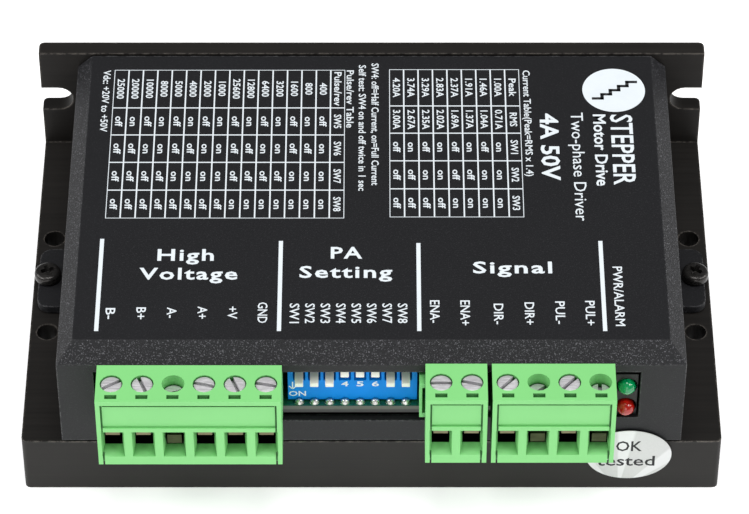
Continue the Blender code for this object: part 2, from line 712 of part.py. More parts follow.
def make_plug(plug, finish, root):
    """A plug's housing, on an empty at its rear top edge and underside, where its slide starts."""
    seat = make_empty(f"{plug.name}_plug_seat", root, (plug.centre, front(-plug.gap), PLUG_BOTTOM))
    half = plug.width / 2
    bm = bmesh.new()
    add_prism(bm, plug_profile(), -half, half)
    body = make_object(f"{plug.name}_plug", bm, finish, seat)

    tongue_half = half - HEADER_WALL - CLEARANCE
    tongue_height = HEADER_HEIGHT / 2 - HEADER_WALL - CLEARANCE
    bm = bmesh.new()
    low = (-tongue_half, -PLUG_OVERHANG - 1.0 * MM, TONGUE_CENTRE - tongue_height)
    add_box(bm, low, (tongue_half, TONGUE_REACH, TONGUE_CENTRE + tongue_height))
    shape_with(body, bm, "tongue", "UNION")
    cut_plug_front(body, plug)
    cut_plug_ways(body, plug)
    return seat


def terminal_screw_mesh(finish):
    """A slotted cheese-head screw with its head's top at the origin."""
    head = TERMINAL_HEAD_DIAMETER / 2
    shank = TERMINAL_SHANK_DIAMETER / 2
    tip = -(PLUG_HEIGHT - TERMINAL_HEAD_SINK - CLAMP_TOP - CLEARANCE)
    profile = [(0.0, 0.0), (head, 0.0), (head, -TERMINAL_HEAD_HEIGHT), (shank, -TERMINAL_HEAD_HEIGHT)]
    profile += [(shank, tip), (0.0, tip)]
    bm = bmesh.new()
    add_turned(bm, profile, 16, Matrix())
    return bm


def cut_driver_slot(screw):
    bm = bmesh.new()
    half = TERMINAL_SLOT_WIDTH / 2
    add_box(bm, (-OUTSIDE, -half, -TERMINAL_SLOT_DEPTH), (OUTSIDE, half, OUTSIDE))
    shape_with(screw, bm, "driver_slot")


def make_terminals(plug, steel, clamp_finish, seat):
    """The screw and the clamp plate of each way. A screw is left either flush or wound down."""
    for number, (x, angle) in enumerate(zip(plug.way_places(), plug.slot_angles), start=1):
        sunk = TERMINAL_TRAVEL if number in plug.deep else 0.0
        top = PLUG_HEIGHT - TERMINAL_HEAD_SINK - sunk
        turn = (0.0, 0.0, math.radians(angle))
        place = (x, -SCREW_FROM_REAR, top)
        screw = make_object(f"{plug.name}_screw_{number}", terminal_screw_mesh(steel), steel, seat, place, turn)
        cut_driver_slot(screw)

        back = SCREW_FROM_REAR - CAVITY_BACK - CLEARANCE
        nose = -(LIP_CHANNEL_FRONT - CLEARANCE - SCREW_FROM_REAR)
        under = -CLAMP_THICKNESS
        lip = nose + CLAMP_LIP_THICKNESS
        low = under - CLAMP_LIP
        profile = [(nose, low), (lip, low), (lip, under), (back, under), (back, 0.0), (nose, 0.0)]
        bm = bmesh.new()
        add_prism(bm, profile, -CLAMP_WIDTH / 2, CLAMP_WIDTH / 2)
        place = (x, -SCREW_FROM_REAR, CLAMP_TOP - sunk)
        make_object(f"{plug.name}_clamp_{number}", bm, clamp_finish, seat, place)


def switch_way_x(way):
    return SWITCH_LEFT + SWITCH_WIDTH / 2 + (way - (SWITCH_WAYS + 1) / 2) * SWITCH_PITCH


def lever_pivot():
    """(y, z) of the axis that all eight levers share."""
    return front(SWITCH_SETBACK + LEVER_PIVOT_SETBACK), ON_BOARD + SWITCH_HEIGHT - LEVER_PIVOT_BELOW_TOP


def make_switch(blue, white, root):
    """The piano switch: a body with a slot for each lever, and the levers in their set positions."""
    face = front(SWITCH_SETBACK)
    top = ON_BOARD + SWITCH_HEIGHT
    bm = bmesh.new()
    add_box(bm, (SWITCH_LEFT, face, ON_BOARD), (SWITCH_LEFT + SWITCH_WIDTH, face + SWITCH_DEPTH, top))
    body = make_object("switch_body", bm, blue, root)

    pivot_y, pivot_z = lever_pivot()
    half = LEVER_WIDTH / 2 + RADIUS_GAP
    sweep = LEVER_PIVOT_SETBACK * math.tan(LEVER_HALF_THROW) + LEVER_THICKNESS / 2 / math.cos(LEVER_HALF_THROW)
    floor = pivot_z - max(sweep, LEVER_HUB_RADIUS) - CLEARANCE
    bm = bmesh.new()
    for way in range(1, SWITCH_WAYS + 1):
        x = switch_way_x(way)
        low = (x - half, face - OUTSIDE, floor)
        add_box(bm, low, (x + half, pivot_y + LEVER_HUB_RADIUS + CLEARANCE, top + OUTSIDE))
    shape_with(body, bm, "lever_slots")

    thick = LEVER_THICKNESS / 2
    bite = math.degrees(math.asin(thick / LEVER_HUB_RADIUS))
    outline = [(-LEVER_REACH, thick), (-LEVER_REACH, -thick)]
    outline += arc((0.0, 0.0), LEVER_HUB_RADIUS, -180 + bite, 180 - bite, 10)
    for way in range(1, SWITCH_WAYS + 1):
        bm = bmesh.new()
        add_prism(bm, outline, -LEVER_WIDTH / 2, LEVER_WIDTH / 2)
        tilt = LEVER_HALF_THROW if way in LEVERS_DOWN else -LEVER_HALF_THROW
        place = (switch_way_x(way), pivot_y, pivot_z)
        make_object(f"switch_lever_{way}", bm, white, root, place, (tilt, 0.0, 0.0))


def lamp_heights():
    """Heights of the red lamp, below, and of the green lamp, above."""
    lower = HOLDER_BOTTOM + HOLDER_END_WALL + LAMP_DIAMETER / 2 + RADIUS_GAP
    return lower, lower + LAMP_SPACING


def make_lamps(dark, green, red, root):
    """Two domed lamps in one dark holder, each with its two leads bent down to the board."""
    x = HOLDER_LEFT + HOLDER_WIDTH / 2
    face = front(HOLDER_SETBACK)
    rear = face + HOLDER_DEPTH
    bm = bmesh.new()
    high = (HOLDER_LEFT + HOLDER_WIDTH, rear, HOLDER_BOTTOM + HOLDER_HEIGHT)
    add_box(bm, (HOLDER_LEFT, face, HOLDER_BOTTOM), high)
    holder = make_object("lamp_holder", bm, dark, root)
    bm = bmesh.new()
    for z in lamp_heights():
        radius = LAMP_DIAMETER / 2 + RADIUS_GAP
        add_cylinder(bm, radius, -OUTSIDE, HOLDER_DEPTH + OUTSIDE, 16, facing_front(x, rear, z))
    shape_with(holder, bm, "lamp_bores")

    radius = LAMP_DIAMETER / 2
    lamps = zip(("lamp_red", "lamp_green"), (red, green), lamp_heights(), LEADS_BEHIND_HOLDER)
    for name, finish, z, lead_reach in lamps:
        dome = arc((0.0, LAMP_BODY), radius, 0, 90, 5)
        profile = [(0.0, 0.0)] + [(radius, 0.0)] + dome[:-1] + [(0.0, LAMP_BODY + radius)]
        base = front(LAMP_BODY + radius - LAMP_STAND_OUT)
        bm = bmesh.new()
        add_turned(bm, profile, 16, facing_front(0.0, base, 0.0))
        lamp = make_object(name, bm, finish, root, (x, 0.0, z))
        bm = bmesh.new()
        half = LAMP_LEAD / 2
        bend = rear + lead_reach
        foot = ON_BOARD - z
        outline = [(base - 0.5 * MM, -half), (bend - LAMP_LEAD, -half), (bend - LAMP_LEAD, foot)]
        outline += [(bend, foot), (bend, half), (base - 0.5 * MM, half)]
        if foot > -2 * half:
            outline = [(base - 0.5 * MM, -half), (bend, -half), (bend, half), (base - 0.5 * MM, half)]
        for side in (-0.5, 0.5):
            middle = side * LAMP_LEAD_SPACING
            add_prism(bm, outline, middle - half, middle + half)
        shape_with(lamp, bm, "leads", "UNION")


def make_electronics(plastic, sleeve, rubber, root):
    """The main pieces on and under the board: bridge chip on its thermal pad, controller and bulk capacitor."""
    length, width, height = CHIP_SIZE
    y = front(DEPTH - CHIP_FROM_BACK)
    pad_low = BASE_THICKNESS + CLEARANCE
    bm = bmesh.new()
    reach_x, reach_y = length / 2 + PAD_MARGIN, width / 2 + PAD_MARGIN
    add_box(bm, (-reach_x, y - reach_y, pad_low), (reach_x, y + reach_y, pad_low + PAD_THICKNESS))
    make_object("thermal_pad", bm, rubber, root)
    chip_low = pad_low + PAD_THICKNESS + CLEARANCE
    bm = bmesh.new()
    add_box(bm, (-length / 2, y - width / 2, chip_low), (length / 2, y + width / 2, chip_low + height))
    make_object("bridge_chip", bm, plastic, root)

    length, width, height = CONTROLLER_SIZE
    x, y = CONTROLLER_PLACE[0], front(CONTROLLER_PLACE[1])
    bm = bmesh.new()
    low = (x - length / 2, y - width / 2, ON_BOARD)
    add_box(bm, low, (x + length / 2, y + width / 2, ON_BOARD + height))
    make_object("controller_chip", bm, plastic, root)

    radius = CAPACITOR_DIAMETER / 2
    crimp = CAPACITOR_CRIMP
    end = CAPACITOR_LENGTH
    profile = [(0.0, 0.0), (radius - crimp, 0.0), (radius, crimp), (radius, 3 * crimp)]
    profile += [(radius - crimp, 4 * crimp), (radius - crimp, 5 * crimp), (radius, 6 * crimp)]
    profile += [(radius, end - crimp), (radius - crimp, end), (0.0, end)]
    x, y = CAPACITOR_PLACE[0] - end / 2, front(CAPACITOR_PLACE[1])
    lying = at(x, y, ON_BOARD + radius) @ Matrix.Rotation(math.radians(90), 4, "Y")
    bm = bmesh.new()
    add_turned(bm, profile, 20, lying)
    make_object("bulk_capacitor", bm, sleeve, root)


def make_label(finish, root):
    """The oval inspection label, on the cover and the heatsink's front face."""
    centre = (LENGTH / 2 - LABEL_FROM_RIGHT, LABEL_CENTRE_HEIGHT)
    steps = 36
    outline = []
    for step in range(steps):
        angle = 2 * math.pi * step / steps
        x = centre[0] + LABEL_WIDTH / 2 * math.cos(angle)
        outline.append((x, centre[1] + LABEL_HEIGHT / 2 * math.sin(angle)))
    back = front(-CLEARANCE)
    bm = bmesh.new()
    add_prism(bm, outline, back - LABEL_THICKNESS, back, axes="XZY")
    make_object("inspection_label", bm, finish, root)


def build():
    for obj in list(bpy.data.objects):
        bpy.data.objects.remove(obj, do_unlink=True)

    anodised = material("black_anodised_aluminium", (0.035, 0.033, 0.032), 0.55, 0.6)
    black = material("black_powder_coat", (0.022, 0.023, 0.026), 0.6)
    green = material("green_terminal_plastic", (0.30, 0.84, 0.30), 0.4)
    pale_green = material("pale_green_header_plastic", (0.26, 0.75, 0.27), 0.45)
    zinc = material("zinc_steel", (0.78, 0.78, 0.80), 0.25, 1.0)
    brass = material("nickelled_brass", (0.72, 0.68, 0.58), 0.3, 1.0)
    dark_steel = material("black_steel", (0.03, 0.03, 0.03), 0.4, 0.8)
    board_green = material("green_board", (0.01, 0.16, 0.07), 0.35)
    blue = material("blue_switch_plastic", (0.0, 0.22, 0.75), 0.4)
    white = material("white_lever_plastic", (0.85, 0.84, 0.78), 0.45)
    lamp_green = material("green_lamp", (0.0, 0.45, 0.2), 0.12)
    lamp_red = material("red_lamp", (0.65, 0.02, 0.01), 0.12)
    dark = material("dark_holder_plastic", (0.02, 0.02, 0.02), 0.6)
    sleeve = material("capacitor_sleeve", (0.02, 0.03, 0.06), 0.35)
    rubber = material("grey_thermal_pad", (0.35, 0.37, 0.38), 0.8)
    paper = material("silver_label", (0.85, 0.86, 0.86), 0.35)

    root = make_empty("stepper_driver")
    make_heatsink(anodised, root)
    make_cover(black, root)
    for side, place in zip(("left", "right"), cover_screw_places()):
        seat = COVER_BOTTOM + COVER_WALL + CLEARANCE
        tip = BASE_THICKNESS - SCREW_INTO_BASE + CLEARANCE
        make_pan_screw(f"cover_screw_{side}", dark_steel, root, place, seat, tip)

    make_board(board_green, root)
    corners = ("front_left", "front_right", "rear_left", "rear_right")
    for corner, place in zip(corners, board_screw_places()):
        make_spacer(f"board_spacer_{corner}", brass, root, place)
        tip = BASE_THICKNESS - SCREW_INTO_BASE + CLEARANCE
        make_pan_screw(f"board_screw_{corner}", zinc, root, place, ON_BOARD, tip)

    for plug, left_extra in ((POWER, 0.0), (ENABLE, ENABLE_HEADER_EXTRA), (PULSE, 0.0)):
        make_header(plug, left_extra, pale_green, root)
        seat = make_plug(plug, green, root)
        make_terminals(plug, zinc, brass, seat)

    make_switch(blue, white, root)
    make_lamps(dark, lamp_green, lamp_red, root)
    make_electronics(dark, sleeve, rubber, root)
    make_label(paper, root)


build()
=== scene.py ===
"""Stepper driver module: the finishes, print and small hardware round its fixed frame, and a plain studio.

Lengths are metres in the frame of the CAD: +X along the module, -Y its connector side, +Z up.
"""

from __future__ import annotations

import logging
import math
from dataclasses import dataclass, field
from enum import Enum
from typing import Callable, Iterable, Sequence

import bpy
from mathutils import Matrix, Vector


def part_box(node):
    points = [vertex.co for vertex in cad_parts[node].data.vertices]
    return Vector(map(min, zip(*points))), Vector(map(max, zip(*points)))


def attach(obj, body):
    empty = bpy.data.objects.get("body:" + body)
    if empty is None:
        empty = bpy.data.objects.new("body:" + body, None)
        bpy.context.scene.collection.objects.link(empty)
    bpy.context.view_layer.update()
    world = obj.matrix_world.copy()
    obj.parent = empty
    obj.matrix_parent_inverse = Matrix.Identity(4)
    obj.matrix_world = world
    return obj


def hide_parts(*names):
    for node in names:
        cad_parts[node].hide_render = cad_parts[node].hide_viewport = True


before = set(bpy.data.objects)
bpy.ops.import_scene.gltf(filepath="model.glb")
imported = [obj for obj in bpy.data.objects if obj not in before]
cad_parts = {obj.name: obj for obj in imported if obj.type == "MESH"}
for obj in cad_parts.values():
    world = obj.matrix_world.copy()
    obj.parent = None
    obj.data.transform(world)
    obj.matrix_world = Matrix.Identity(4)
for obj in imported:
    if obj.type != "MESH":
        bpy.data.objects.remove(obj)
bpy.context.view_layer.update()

MM = 0.001
HALF_DEPTH = 37.75 * MM
INK_THICKNESS = 0.03 * MM

Rgb = tuple[float, float, float]
Point = tuple[float, float, float]
# Tint of the painted shade in the recesses of green plastic.
GREEN_RECESS_SHADE_TINT: Rgb = (0.2, 1.0, 0.3)
log = logging.getLogger("stepper_driver")


class Reading(Enum):
    """How a line of print lies: its turn about X and about Z, in degrees."""

    ALONG = (0.0, 0.0)
    DOWN = (0.0, -90.0)
    STANDING = (90.0, 0.0)


class Body(Enum):
    """The fixed body that most pieces ride on."""

    ROOT = "root"


# ---------------------------------------------------------------------------------------------
# Work at the bench: selecting, shaping and placing
# ---------------------------------------------------------------------------------------------


def behind_front(distance: float) -> float:
    """Returns the Y of a place this many millimetres behind the front face."""
    return distance * MM - HALF_DEPTH


def take_up(piece: bpy.types.Object) -> None:
    """Selects one object alone and makes it the active one.

    Args:
        piece: the object to work on next.
    """
    if bpy.context.mode != "OBJECT":
        bpy.ops.object.mode_set(mode="OBJECT")
    bpy.ops.object.select_all(action="DESELECT")
    piece.select_set(True)
    bpy.context.view_layer.objects.active = piece


def settle(piece: bpy.types.Object) -> bpy.types.Object:
    """Puts an object's place, turn and size into its mesh.

    Args:
        piece: the object to settle.

    Returns:
        The same object, now at the origin.
    """
    take_up(piece)
    bpy.ops.object.transform_apply(location=True, rotation=True, scale=True)
    return piece


def apply_modifier(piece: bpy.types.Object, kind: str, **settings: object) -> None:
    """Adds one modifier with its settings and applies it.

    Args:
        piece: the object it shapes.
        kind: Blender's name of the modifier.
        **settings: values for the modifier.
    """
    take_up(piece)
    modifier = piece.modifiers.new(kind.lower(), kind)
    for name, value in settings.items():
        setattr(modifier, name, value)
    bpy.ops.object.modifier_apply(modifier=modifier.name)


def smooth(piece: bpy.types.Object, angle: float = 35.0) -> bpy.types.Object:
    """Shades a piece smooth up to an angle in degrees, and returns it."""
    take_up(piece)
    bpy.ops.object.shade_smooth_by_angle(angle=math.radians(angle))
    return piece


def soften(piece: bpy.types.Object, width: float, segments: int = 2, angle: float = 32.0) -> bpy.types.Object:
    """Rounds every edge sharper than an angle and shades the piece.

    Args:
        piece: the object to soften.
        width: width of the rounding, in metres.
        segments: facets across the rounding.
        angle: smallest angle that is rounded, in degrees.

    Returns:
        The same object.
    """
    apply_modifier(
        piece, "BEVEL", width=width, segments=segments, limit_method="ANGLE", angle_limit=math.radians(angle),
        use_clamp_overlap=True,
    )
    smooth(piece)
    apply_modifier(piece, "WEIGHTED_NORMAL", mode="FACE_AREA", weight=100, keep_sharp=True)
    return piece


def cut(piece: bpy.types.Object, tool: bpy.types.Object) -> None:
    """Cuts a tool's shape out of a piece and clears the tool away.

    Args:
        piece: the object that is cut.
        tool: the closed shape to cut with.
    """
    apply_modifier(piece, "BOOLEAN", object=tool, operation="DIFFERENCE", solver="EXACT")
    bpy.data.objects.remove(tool, do_unlink=True)


def join(pieces: Sequence[bpy.types.Object], name: str) -> bpy.types.Object:
    """Joins several objects into the first.

    Args:
        pieces: the objects, which keep their places.
        name: the joined object's name.

    Returns:
        The joined object, settled.
    """
    take_up(pieces[0])
    for piece in pieces[1:]:
        piece.select_set(True)
    bpy.ops.object.join()
    pieces[0].name = name
    pieces[0].data.name = name
    return settle(pieces[0])


def copy_at(piece: bpy.types.Object, name: str, place: Matrix) -> bpy.types.Object:
    """Copies a piece with its own mesh.

    Args:
        piece: the object to copy.
        name: the copy's name.
        place: where the copy goes, from where the original is.

    Returns:
        The copy, which stays at the origin.
    """
    made = piece.copy()
    made.data = piece.data.copy()
    made.name = name
    made.data.name = name
    bpy.context.scene.collection.objects.link(made)
    made.data.transform(place)
    return made


def block(name: str, low: Point, high: Point) -> bpy.types.Object:
    """A block between two corners, as a start for shaping or as a cutter.

    Args:
        name: its name.
        low: lowest corner.
        high: highest corner.

    Returns:
        The settled object.
    """
    start, end = Vector(low), Vector(high)
    bpy.ops.mesh.primitive_cube_add(size=1.0, location=(start + end) / 2)
    made = bpy.context.active_object
    made.name = name
    made.scale = end - start
    return settle(made)


def turned(name: str, rings: Sequence[tuple[float, float]], sides: int = 48) -> bpy.types.Object:
    """A round solid about Z, drawn out of a disc ring by ring.

    Args:
        name: its name.
        rings: (radius, height) of each ring, from the lowest disc to the last.
        sides: facets round it.

    Returns:
        The object, with closed ends.
    """
    radius, height = rings[0]
    bpy.ops.mesh.primitive_circle_add(vertices=sides, radius=radius, fill_type="NGON", location=(0, 0, height))
    made = settle(bpy.context.active_object)
    made.name = name
    bpy.ops.object.mode_set(mode="EDIT")
    bpy.ops.mesh.select_all(action="SELECT")
    for wide, high in rings[1:]:
        bpy.ops.mesh.extrude_region_move(TRANSFORM_OT_translate={"value": (0, 0, high - height)})
        share = wide / radius
        bpy.ops.transform.resize(value=(share, share, 1.0), center_override=(0, 0, high))
        radius, height = wide, high
    bpy.ops.mesh.select_all(action="SELECT")
    bpy.ops.mesh.normals_make_consistent(inside=False)
    bpy.ops.object.mode_set(mode="OBJECT")
    return made


def rounding(
    radius: float, height: float, wide: float, start: float, end: float, steps: int
) -> list[tuple[float, float]]:
    """Rings of a rounded corner for a turned piece.

    Args:
        radius: distance of the corner's centre from the axis.
        height: height of the corner's centre.
        wide: radius of the corner.
        start: first angle in degrees, from the horizontal.
        end: last angle.
        steps: facets in it.

    Returns:
        (radius, height) pairs.
    """
    angles = (math.radians(start + (end - start) * step / steps) for step in range(steps + 1))
    return [(radius + wide * math.cos(angle), height + wide * math.sin(angle)) for angle in angles]


def from_cad(node: str, name: str) -> bpy.types.Object:
    """A merged copy of a CAD node, ready for softening.

    Args:
        node: the CAD node to copy.
        name: the copy's name.

    Returns:
        The copy, at the origin.
    """
    made = bpy.data.objects.new(name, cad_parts[node].data.copy())
    bpy.context.scene.collection.objects.link(made)
    take_up(made)
    bpy.ops.mesh.customdata_custom_splitnormals_clear()
    bpy.ops.object.mode_set(mode="EDIT")
    bpy.ops.mesh.select_all(action="SELECT")
    bpy.ops.mesh.remove_doubles(threshold=1e-6)
    bpy.ops.mesh.dissolve_limited(angle_limit=math.radians(0.5))
    bpy.ops.mesh.vert_connect_concave()
    bpy.ops.object.mode_set(mode="OBJECT")
    return made


def finish_piece(
    piece: bpy.types.Object, material: bpy.types.Material, body: str, stands_for: Sequence[str] = ()
) -> bpy.types.Object:
    """Gives a finished piece its material and its body, and hides the CAD nodes that it stands for.

    Args:
        piece: the settled object.
        material: its finish.
        body: the CAD body that carries it.
        stands_for: CAD nodes that it replaces.

    Returns:
        The same object.
    """
    piece.data.materials.clear()
    piece.data.materials.append(material)
    for polygon in piece.data.polygons:
        polygon.material_index = 0
    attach(piece, body)
    if stands_for:
        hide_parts(*stands_for)
    return piece


def middle(node: str) -> Vector:
    """Returns the middle of a CAD node's box."""
    low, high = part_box(node)
    return (low + high) / 2


# ---------------------------------------------------------------------------------------------
# Node work shared by the finishes
# ---------------------------------------------------------------------------------------------


class Sheet:
    """A node tree being drawn."""

    def __init__(self, tree: bpy.types.NodeTree) -> None:
        """Starts on a tree.

        Args:
            tree: the material's or the group's tree.
        """
        self.tree = tree

    def add(self, kind: str, inputs: dict | None = None, **settings: object) -> bpy.types.Node:
        """Adds a node, with its settings, and fills or joins its inputs.

        Args:
            kind: the node's type, without its ShaderNode prefix.
            inputs: a value or an output socket for each named or numbered input.
            **settings: the node's own properties.

        Returns:
            The new node.
        """
        prefix = "" if kind.startswith("NodeGroup") else "ShaderNode"
        made = self.tree.nodes.new(prefix + kind)
        for name, value in settings.items():
            setattr(made, name, value)
        for key, value in (inputs or {}).items():
            if isinstance(value, bpy.types.NodeSocket):
                self.tree.links.new(value, made.inputs[key])
            else:
                made.inputs[key].default_value = value
        return made

    def ramp(self, value: bpy.types.NodeSocket, stops: Sequence[tuple[float, float]]) -> bpy.types.NodeSocket:
        """A grey ramp through (position, brightness) stops.

        Args:
            value: what runs along the ramp.
            stops: two or more stops.

        Returns:
            The ramp's colour output.
        """
        made = self.add("ValToRGB", {0: value})
        elements = made.color_ramp.elements
        while len(elements) < len(stops):
            elements.new(0.5)
        for element, (position, grey) in zip(elements, stops):
            element.position = position
            element.color = (grey, grey, grey, 1.0)
        return made.outputs[0]

    def math(self, operation: str, *values: object) -> bpy.types.NodeSocket:
        """A Math node on the values, and returns its output."""
        return self.add("Math", dict(enumerate(values)), operation=operation).outputs[0]

    def vary(self, least: object, mask: bpy.types.NodeSocket, span: float) -> bpy.types.NodeSocket:
        """A value that rises above a least value by a share of a span, as a mask says.

        Args:
            least: the number or socket that it starts from.
            mask: what it follows.
            span: how far it rises where the mask is bright.

        Returns:
            The varied number.
        """
        return self.math("ADD", least, self.math("MULTIPLY", mask, span))

    def wire(self, shader: bpy.types.Node, **values: bpy.types.NodeSocket) -> None:
        """Joins sockets to a shader's inputs.

        Args:
            shader: the material's shader.
            **values: the socket for each input, with spaces written as underscores.
        """
        for key, value in values.items():
            self.tree.links.new(value, shader.inputs[key.replace("_", " ")])

    def blend(self, share: object, first: object, second: object) -> bpy.types.NodeSocket:
        """Mixes two colours.

        Args:
            share: how much of the second.
            first: a colour or a socket.
            second: a colour or a socket.

        Returns:
            The mixed colour.
        """
        values = {0: share, 6: first, 7: second}
        for key in (6, 7):
            if isinstance(values[key], tuple) and len(values[key]) == 3:
                values[key] = (*values[key], 1.0)
        return self.add("Mix", values, data_type="RGBA").outputs[2]


def start_group(
    name: str, inputs: dict[str, float], outputs: dict[str, str]
) -> tuple[bpy.types.NodeTree, Sheet, dict]:
    """Starts a shader node group with its sockets.

    Args:
        name: the group's name.
        inputs: default value of each number that it takes.
        outputs: socket type of each thing that it puts out.

    Returns:
        The group, a sheet on it, and its input sockets by name.
    """
    tree = bpy.data.node_groups.new(name, "ShaderNodeTree")
    for socket, value in inputs.items():
        made = tree.interface.new_socket(socket, in_out="INPUT", socket_type="NodeSocketFloat")
        made.default_value = value
    for socket, kind in outputs.items():
        tree.interface.new_socket(socket, in_out="OUTPUT", socket_type=kind)
    sheet = Sheet(tree)
    entry = sheet.add("NodeGroupInput")
    return tree, sheet, {socket.name: socket for socket in entry.outputs if socket.name}


def end_group(sheet: Sheet, values: dict[str, bpy.types.NodeSocket]) -> None:
    """Joins a group's results to its outputs.

    Args:
        sheet: the group's sheet.
        values: the socket for each output.
    """
    sheet.add("NodeGroupOutput", values)


def make_grain_group() -> bpy.types.NodeTree:
    """Fine grain: a mottled mask and a normal roughened by two sizes of noise. Returns the group."""
    tree, sheet, given = start_group(
        "fine_grain", {"Scale": 3000.0, "Depth": 0.01 * MM, "Strength": 0.5},
        {"Mask": "NodeSocketFloat", "Normal": "NodeSocketVector"},
    )
    place = sheet.add("TexCoord").outputs["Object"]
    coarse = sheet.add("TexNoise", {"Vector": place, "Scale": given["Scale"], "Detail": 3.0, "Roughness": 0.62})
    doubled = sheet.math("MULTIPLY", given["Scale"], 2.7)
    cells = sheet.add("TexVoronoi", {"Vector": place, "Scale": doubled}, feature="F1")
    height = sheet.vary(coarse.outputs[0], cells.outputs[0], 0.5)
    bump = sheet.add("Bump", {"Strength": given["Strength"], "Distance": given["Depth"], "Height": height})
    end_group(sheet, {"Mask": coarse.outputs[0], "Normal": bump.outputs[0]})
    return tree


def make_wear_group() -> bpy.types.NodeTree:
    """Edge wear and edge highlight: a mask that is bright in broken patches along the edges, used as wear and, on the
    cover, partly as a painted highlight. Returns the group.
    """
    tree, sheet, given = start_group(
        "edge_wear_and_highlight", {"Radius": 0.2 * MM, "Breakup": 900.0, "Amount": 0.5}, {"Mask": "NodeSocketFloat"}
    )
    rounded = sheet.add("Bevel", {"Radius": given["Radius"]}, samples=6)
    true = sheet.add("NewGeometry").outputs["Normal"]
    match = sheet.add("VectorMath", {0: rounded.outputs[0], 1: true}, operation="DOT_PRODUCT").outputs["Value"]
    edge = sheet.ramp(sheet.math("SUBTRACT", 1.0, match), ((0.015, 0.0), (0.16, 1.0)))
    place = sheet.add("TexCoord").outputs["Object"]
    noise = sheet.add("TexNoise", {"Vector": place, "Scale": given["Breakup"], "Detail": 4.0, "Roughness": 0.7})
    lifted = sheet.math("ADD", noise.outputs[0], sheet.math("SUBTRACT", given["Amount"], 0.5))
    patch = sheet.ramp(lifted, ((0.44, 0.0), (0.62, 1.0)))
    end_group(sheet, {"Mask": sheet.math("MULTIPLY", edge, patch)})
    return tree


def make_streak_group() -> bpy.types.NodeTree:
    """Drawn or brushed lines along X: a mask and a lightly grooved normal. Returns the group."""
    tree, sheet, given = start_group(
        "drawn_lines", {"Fineness": 4000.0, "Length": 60.0, "Depth": 0.01 * MM},
        {"Mask": "NodeSocketFloat", "Normal": "NodeSocketVector"},
    )
    place = sheet.add("TexCoord").outputs["Object"]
    parts = sheet.add("SeparateXYZ", {0: place})
    along = sheet.math("MULTIPLY", parts.outputs[0], given["Length"])
    across = [sheet.math("MULTIPLY", parts.outputs[axis], given["Fineness"]) for axis in (1, 2)]
    stretched = sheet.add("CombineXYZ", {0: along, 1: across[0], 2: across[1]}).outputs[0]
    noise = sheet.add("TexNoise", {"Vector": stretched, "Scale": 1.0, "Detail": 4.0, "Roughness": 0.6}).outputs[0]
    bump = sheet.add("Bump", {"Strength": 0.4, "Distance": given["Depth"], "Height": noise})
    end_group(sheet, {"Mask": noise, "Normal": bump.outputs[0]})
    return tree


def make_dust_group() -> bpy.types.NodeTree:
    """Soft dust and handling marks: broad faint clouds with a few specks. Returns the group."""
    tree, sheet, given = start_group("dust_and_marks", {"Size": 90.0, "Specks": 0.3}, {"Mask": "NodeSocketFloat"})
    place = sheet.add("TexCoord").outputs["Object"]
    cloud = sheet.add("TexNoise", {"Vector": place, "Scale": given["Size"], "Detail": 5.0, "Roughness": 0.55})
    clouds = sheet.ramp(cloud.outputs[0], ((0.42, 0.0), (0.72, 0.6)))
    cells = sheet.add("TexVoronoi", {"Vector": place, "Scale": sheet.math("MULTIPLY", given["Size"], 9.0)})
    dots = sheet.ramp(cells.outputs[0], ((0.03, 1.0), (0.09, 0.0)))
    end_group(sheet, {"Mask": sheet.math("ADD", clouds, sheet.math("MULTIPLY", dots, given["Specks"]))})
    return tree


def make_recess_group() -> bpy.types.NodeTree:
    """Shade that gathers in recesses: a mask that is bright where little light gets in. Returns the group."""
    tree, sheet, given = start_group("recess_shade", {"Reach": 1.5 * MM}, {"Mask": "NodeSocketFloat"})
    open_sky = sheet.add("AmbientOcclusion", {"Distance": given["Reach"]}, samples=8).outputs["AO"]
    shut = sheet.math("SUBTRACT", 1.0, open_sky)
    end_group(sheet, {"Mask": sheet.ramp(shut, ((0.3, 0.0), (0.72, 1.0)))})
    return tree


GROUP_MAKERS: dict[str, Callable[[], bpy.types.NodeTree]] = {
    "recess_shade": make_recess_group,
    "fine_grain": make_grain_group,
    "edge_wear_and_highlight": make_wear_group,
    "drawn_lines": make_streak_group,
    "dust_and_marks": make_dust_group,
}


def effect(sheet: Sheet, name: str, **values: float) -> bpy.types.Node:
    """Places one of the shared node groups in a material.

    Args:
        sheet: the material's sheet.
        name: the group's name.
        **values: numbers for its inputs.

    Returns:
        The group's node.
    """
    tree = bpy.data.node_groups.get(name) or GROUP_MAKERS[name]()
    made = sheet.add("Group")
    made.node_tree = tree
    for socket, value in values.items():
        made.inputs[socket].default_value = value
    return made


def new_material(name: str, **constants: object) -> tuple[bpy.types.Material, Sheet, bpy.types.Node]:
    """Starts a material with constants set on its shader's own sockets.

    Args:
        name: the material's name.
        **constants: shader inputs, with spaces written as underscores.

    Returns:
        The material, a sheet on its tree and its Principled BSDF.
    """
    made = bpy.data.materials.new(name)
    made.use_nodes = True
    shader = made.node_tree.nodes["Principled BSDF"]
    for key, value in constants.items():
        shader.inputs[key.replace("_", " ")].default_value = value
    return made, Sheet(made.node_tree), shader


def shade(colour: Rgb, factor: float) -> Rgb:
    """Returns a colour made lighter or darker by a factor."""
    return (colour[0] * factor, colour[1] * factor, colour[2] * factor)


# ---------------------------------------------------------------------------------------------
# Finishes
# ---------------------------------------------------------------------------------------------


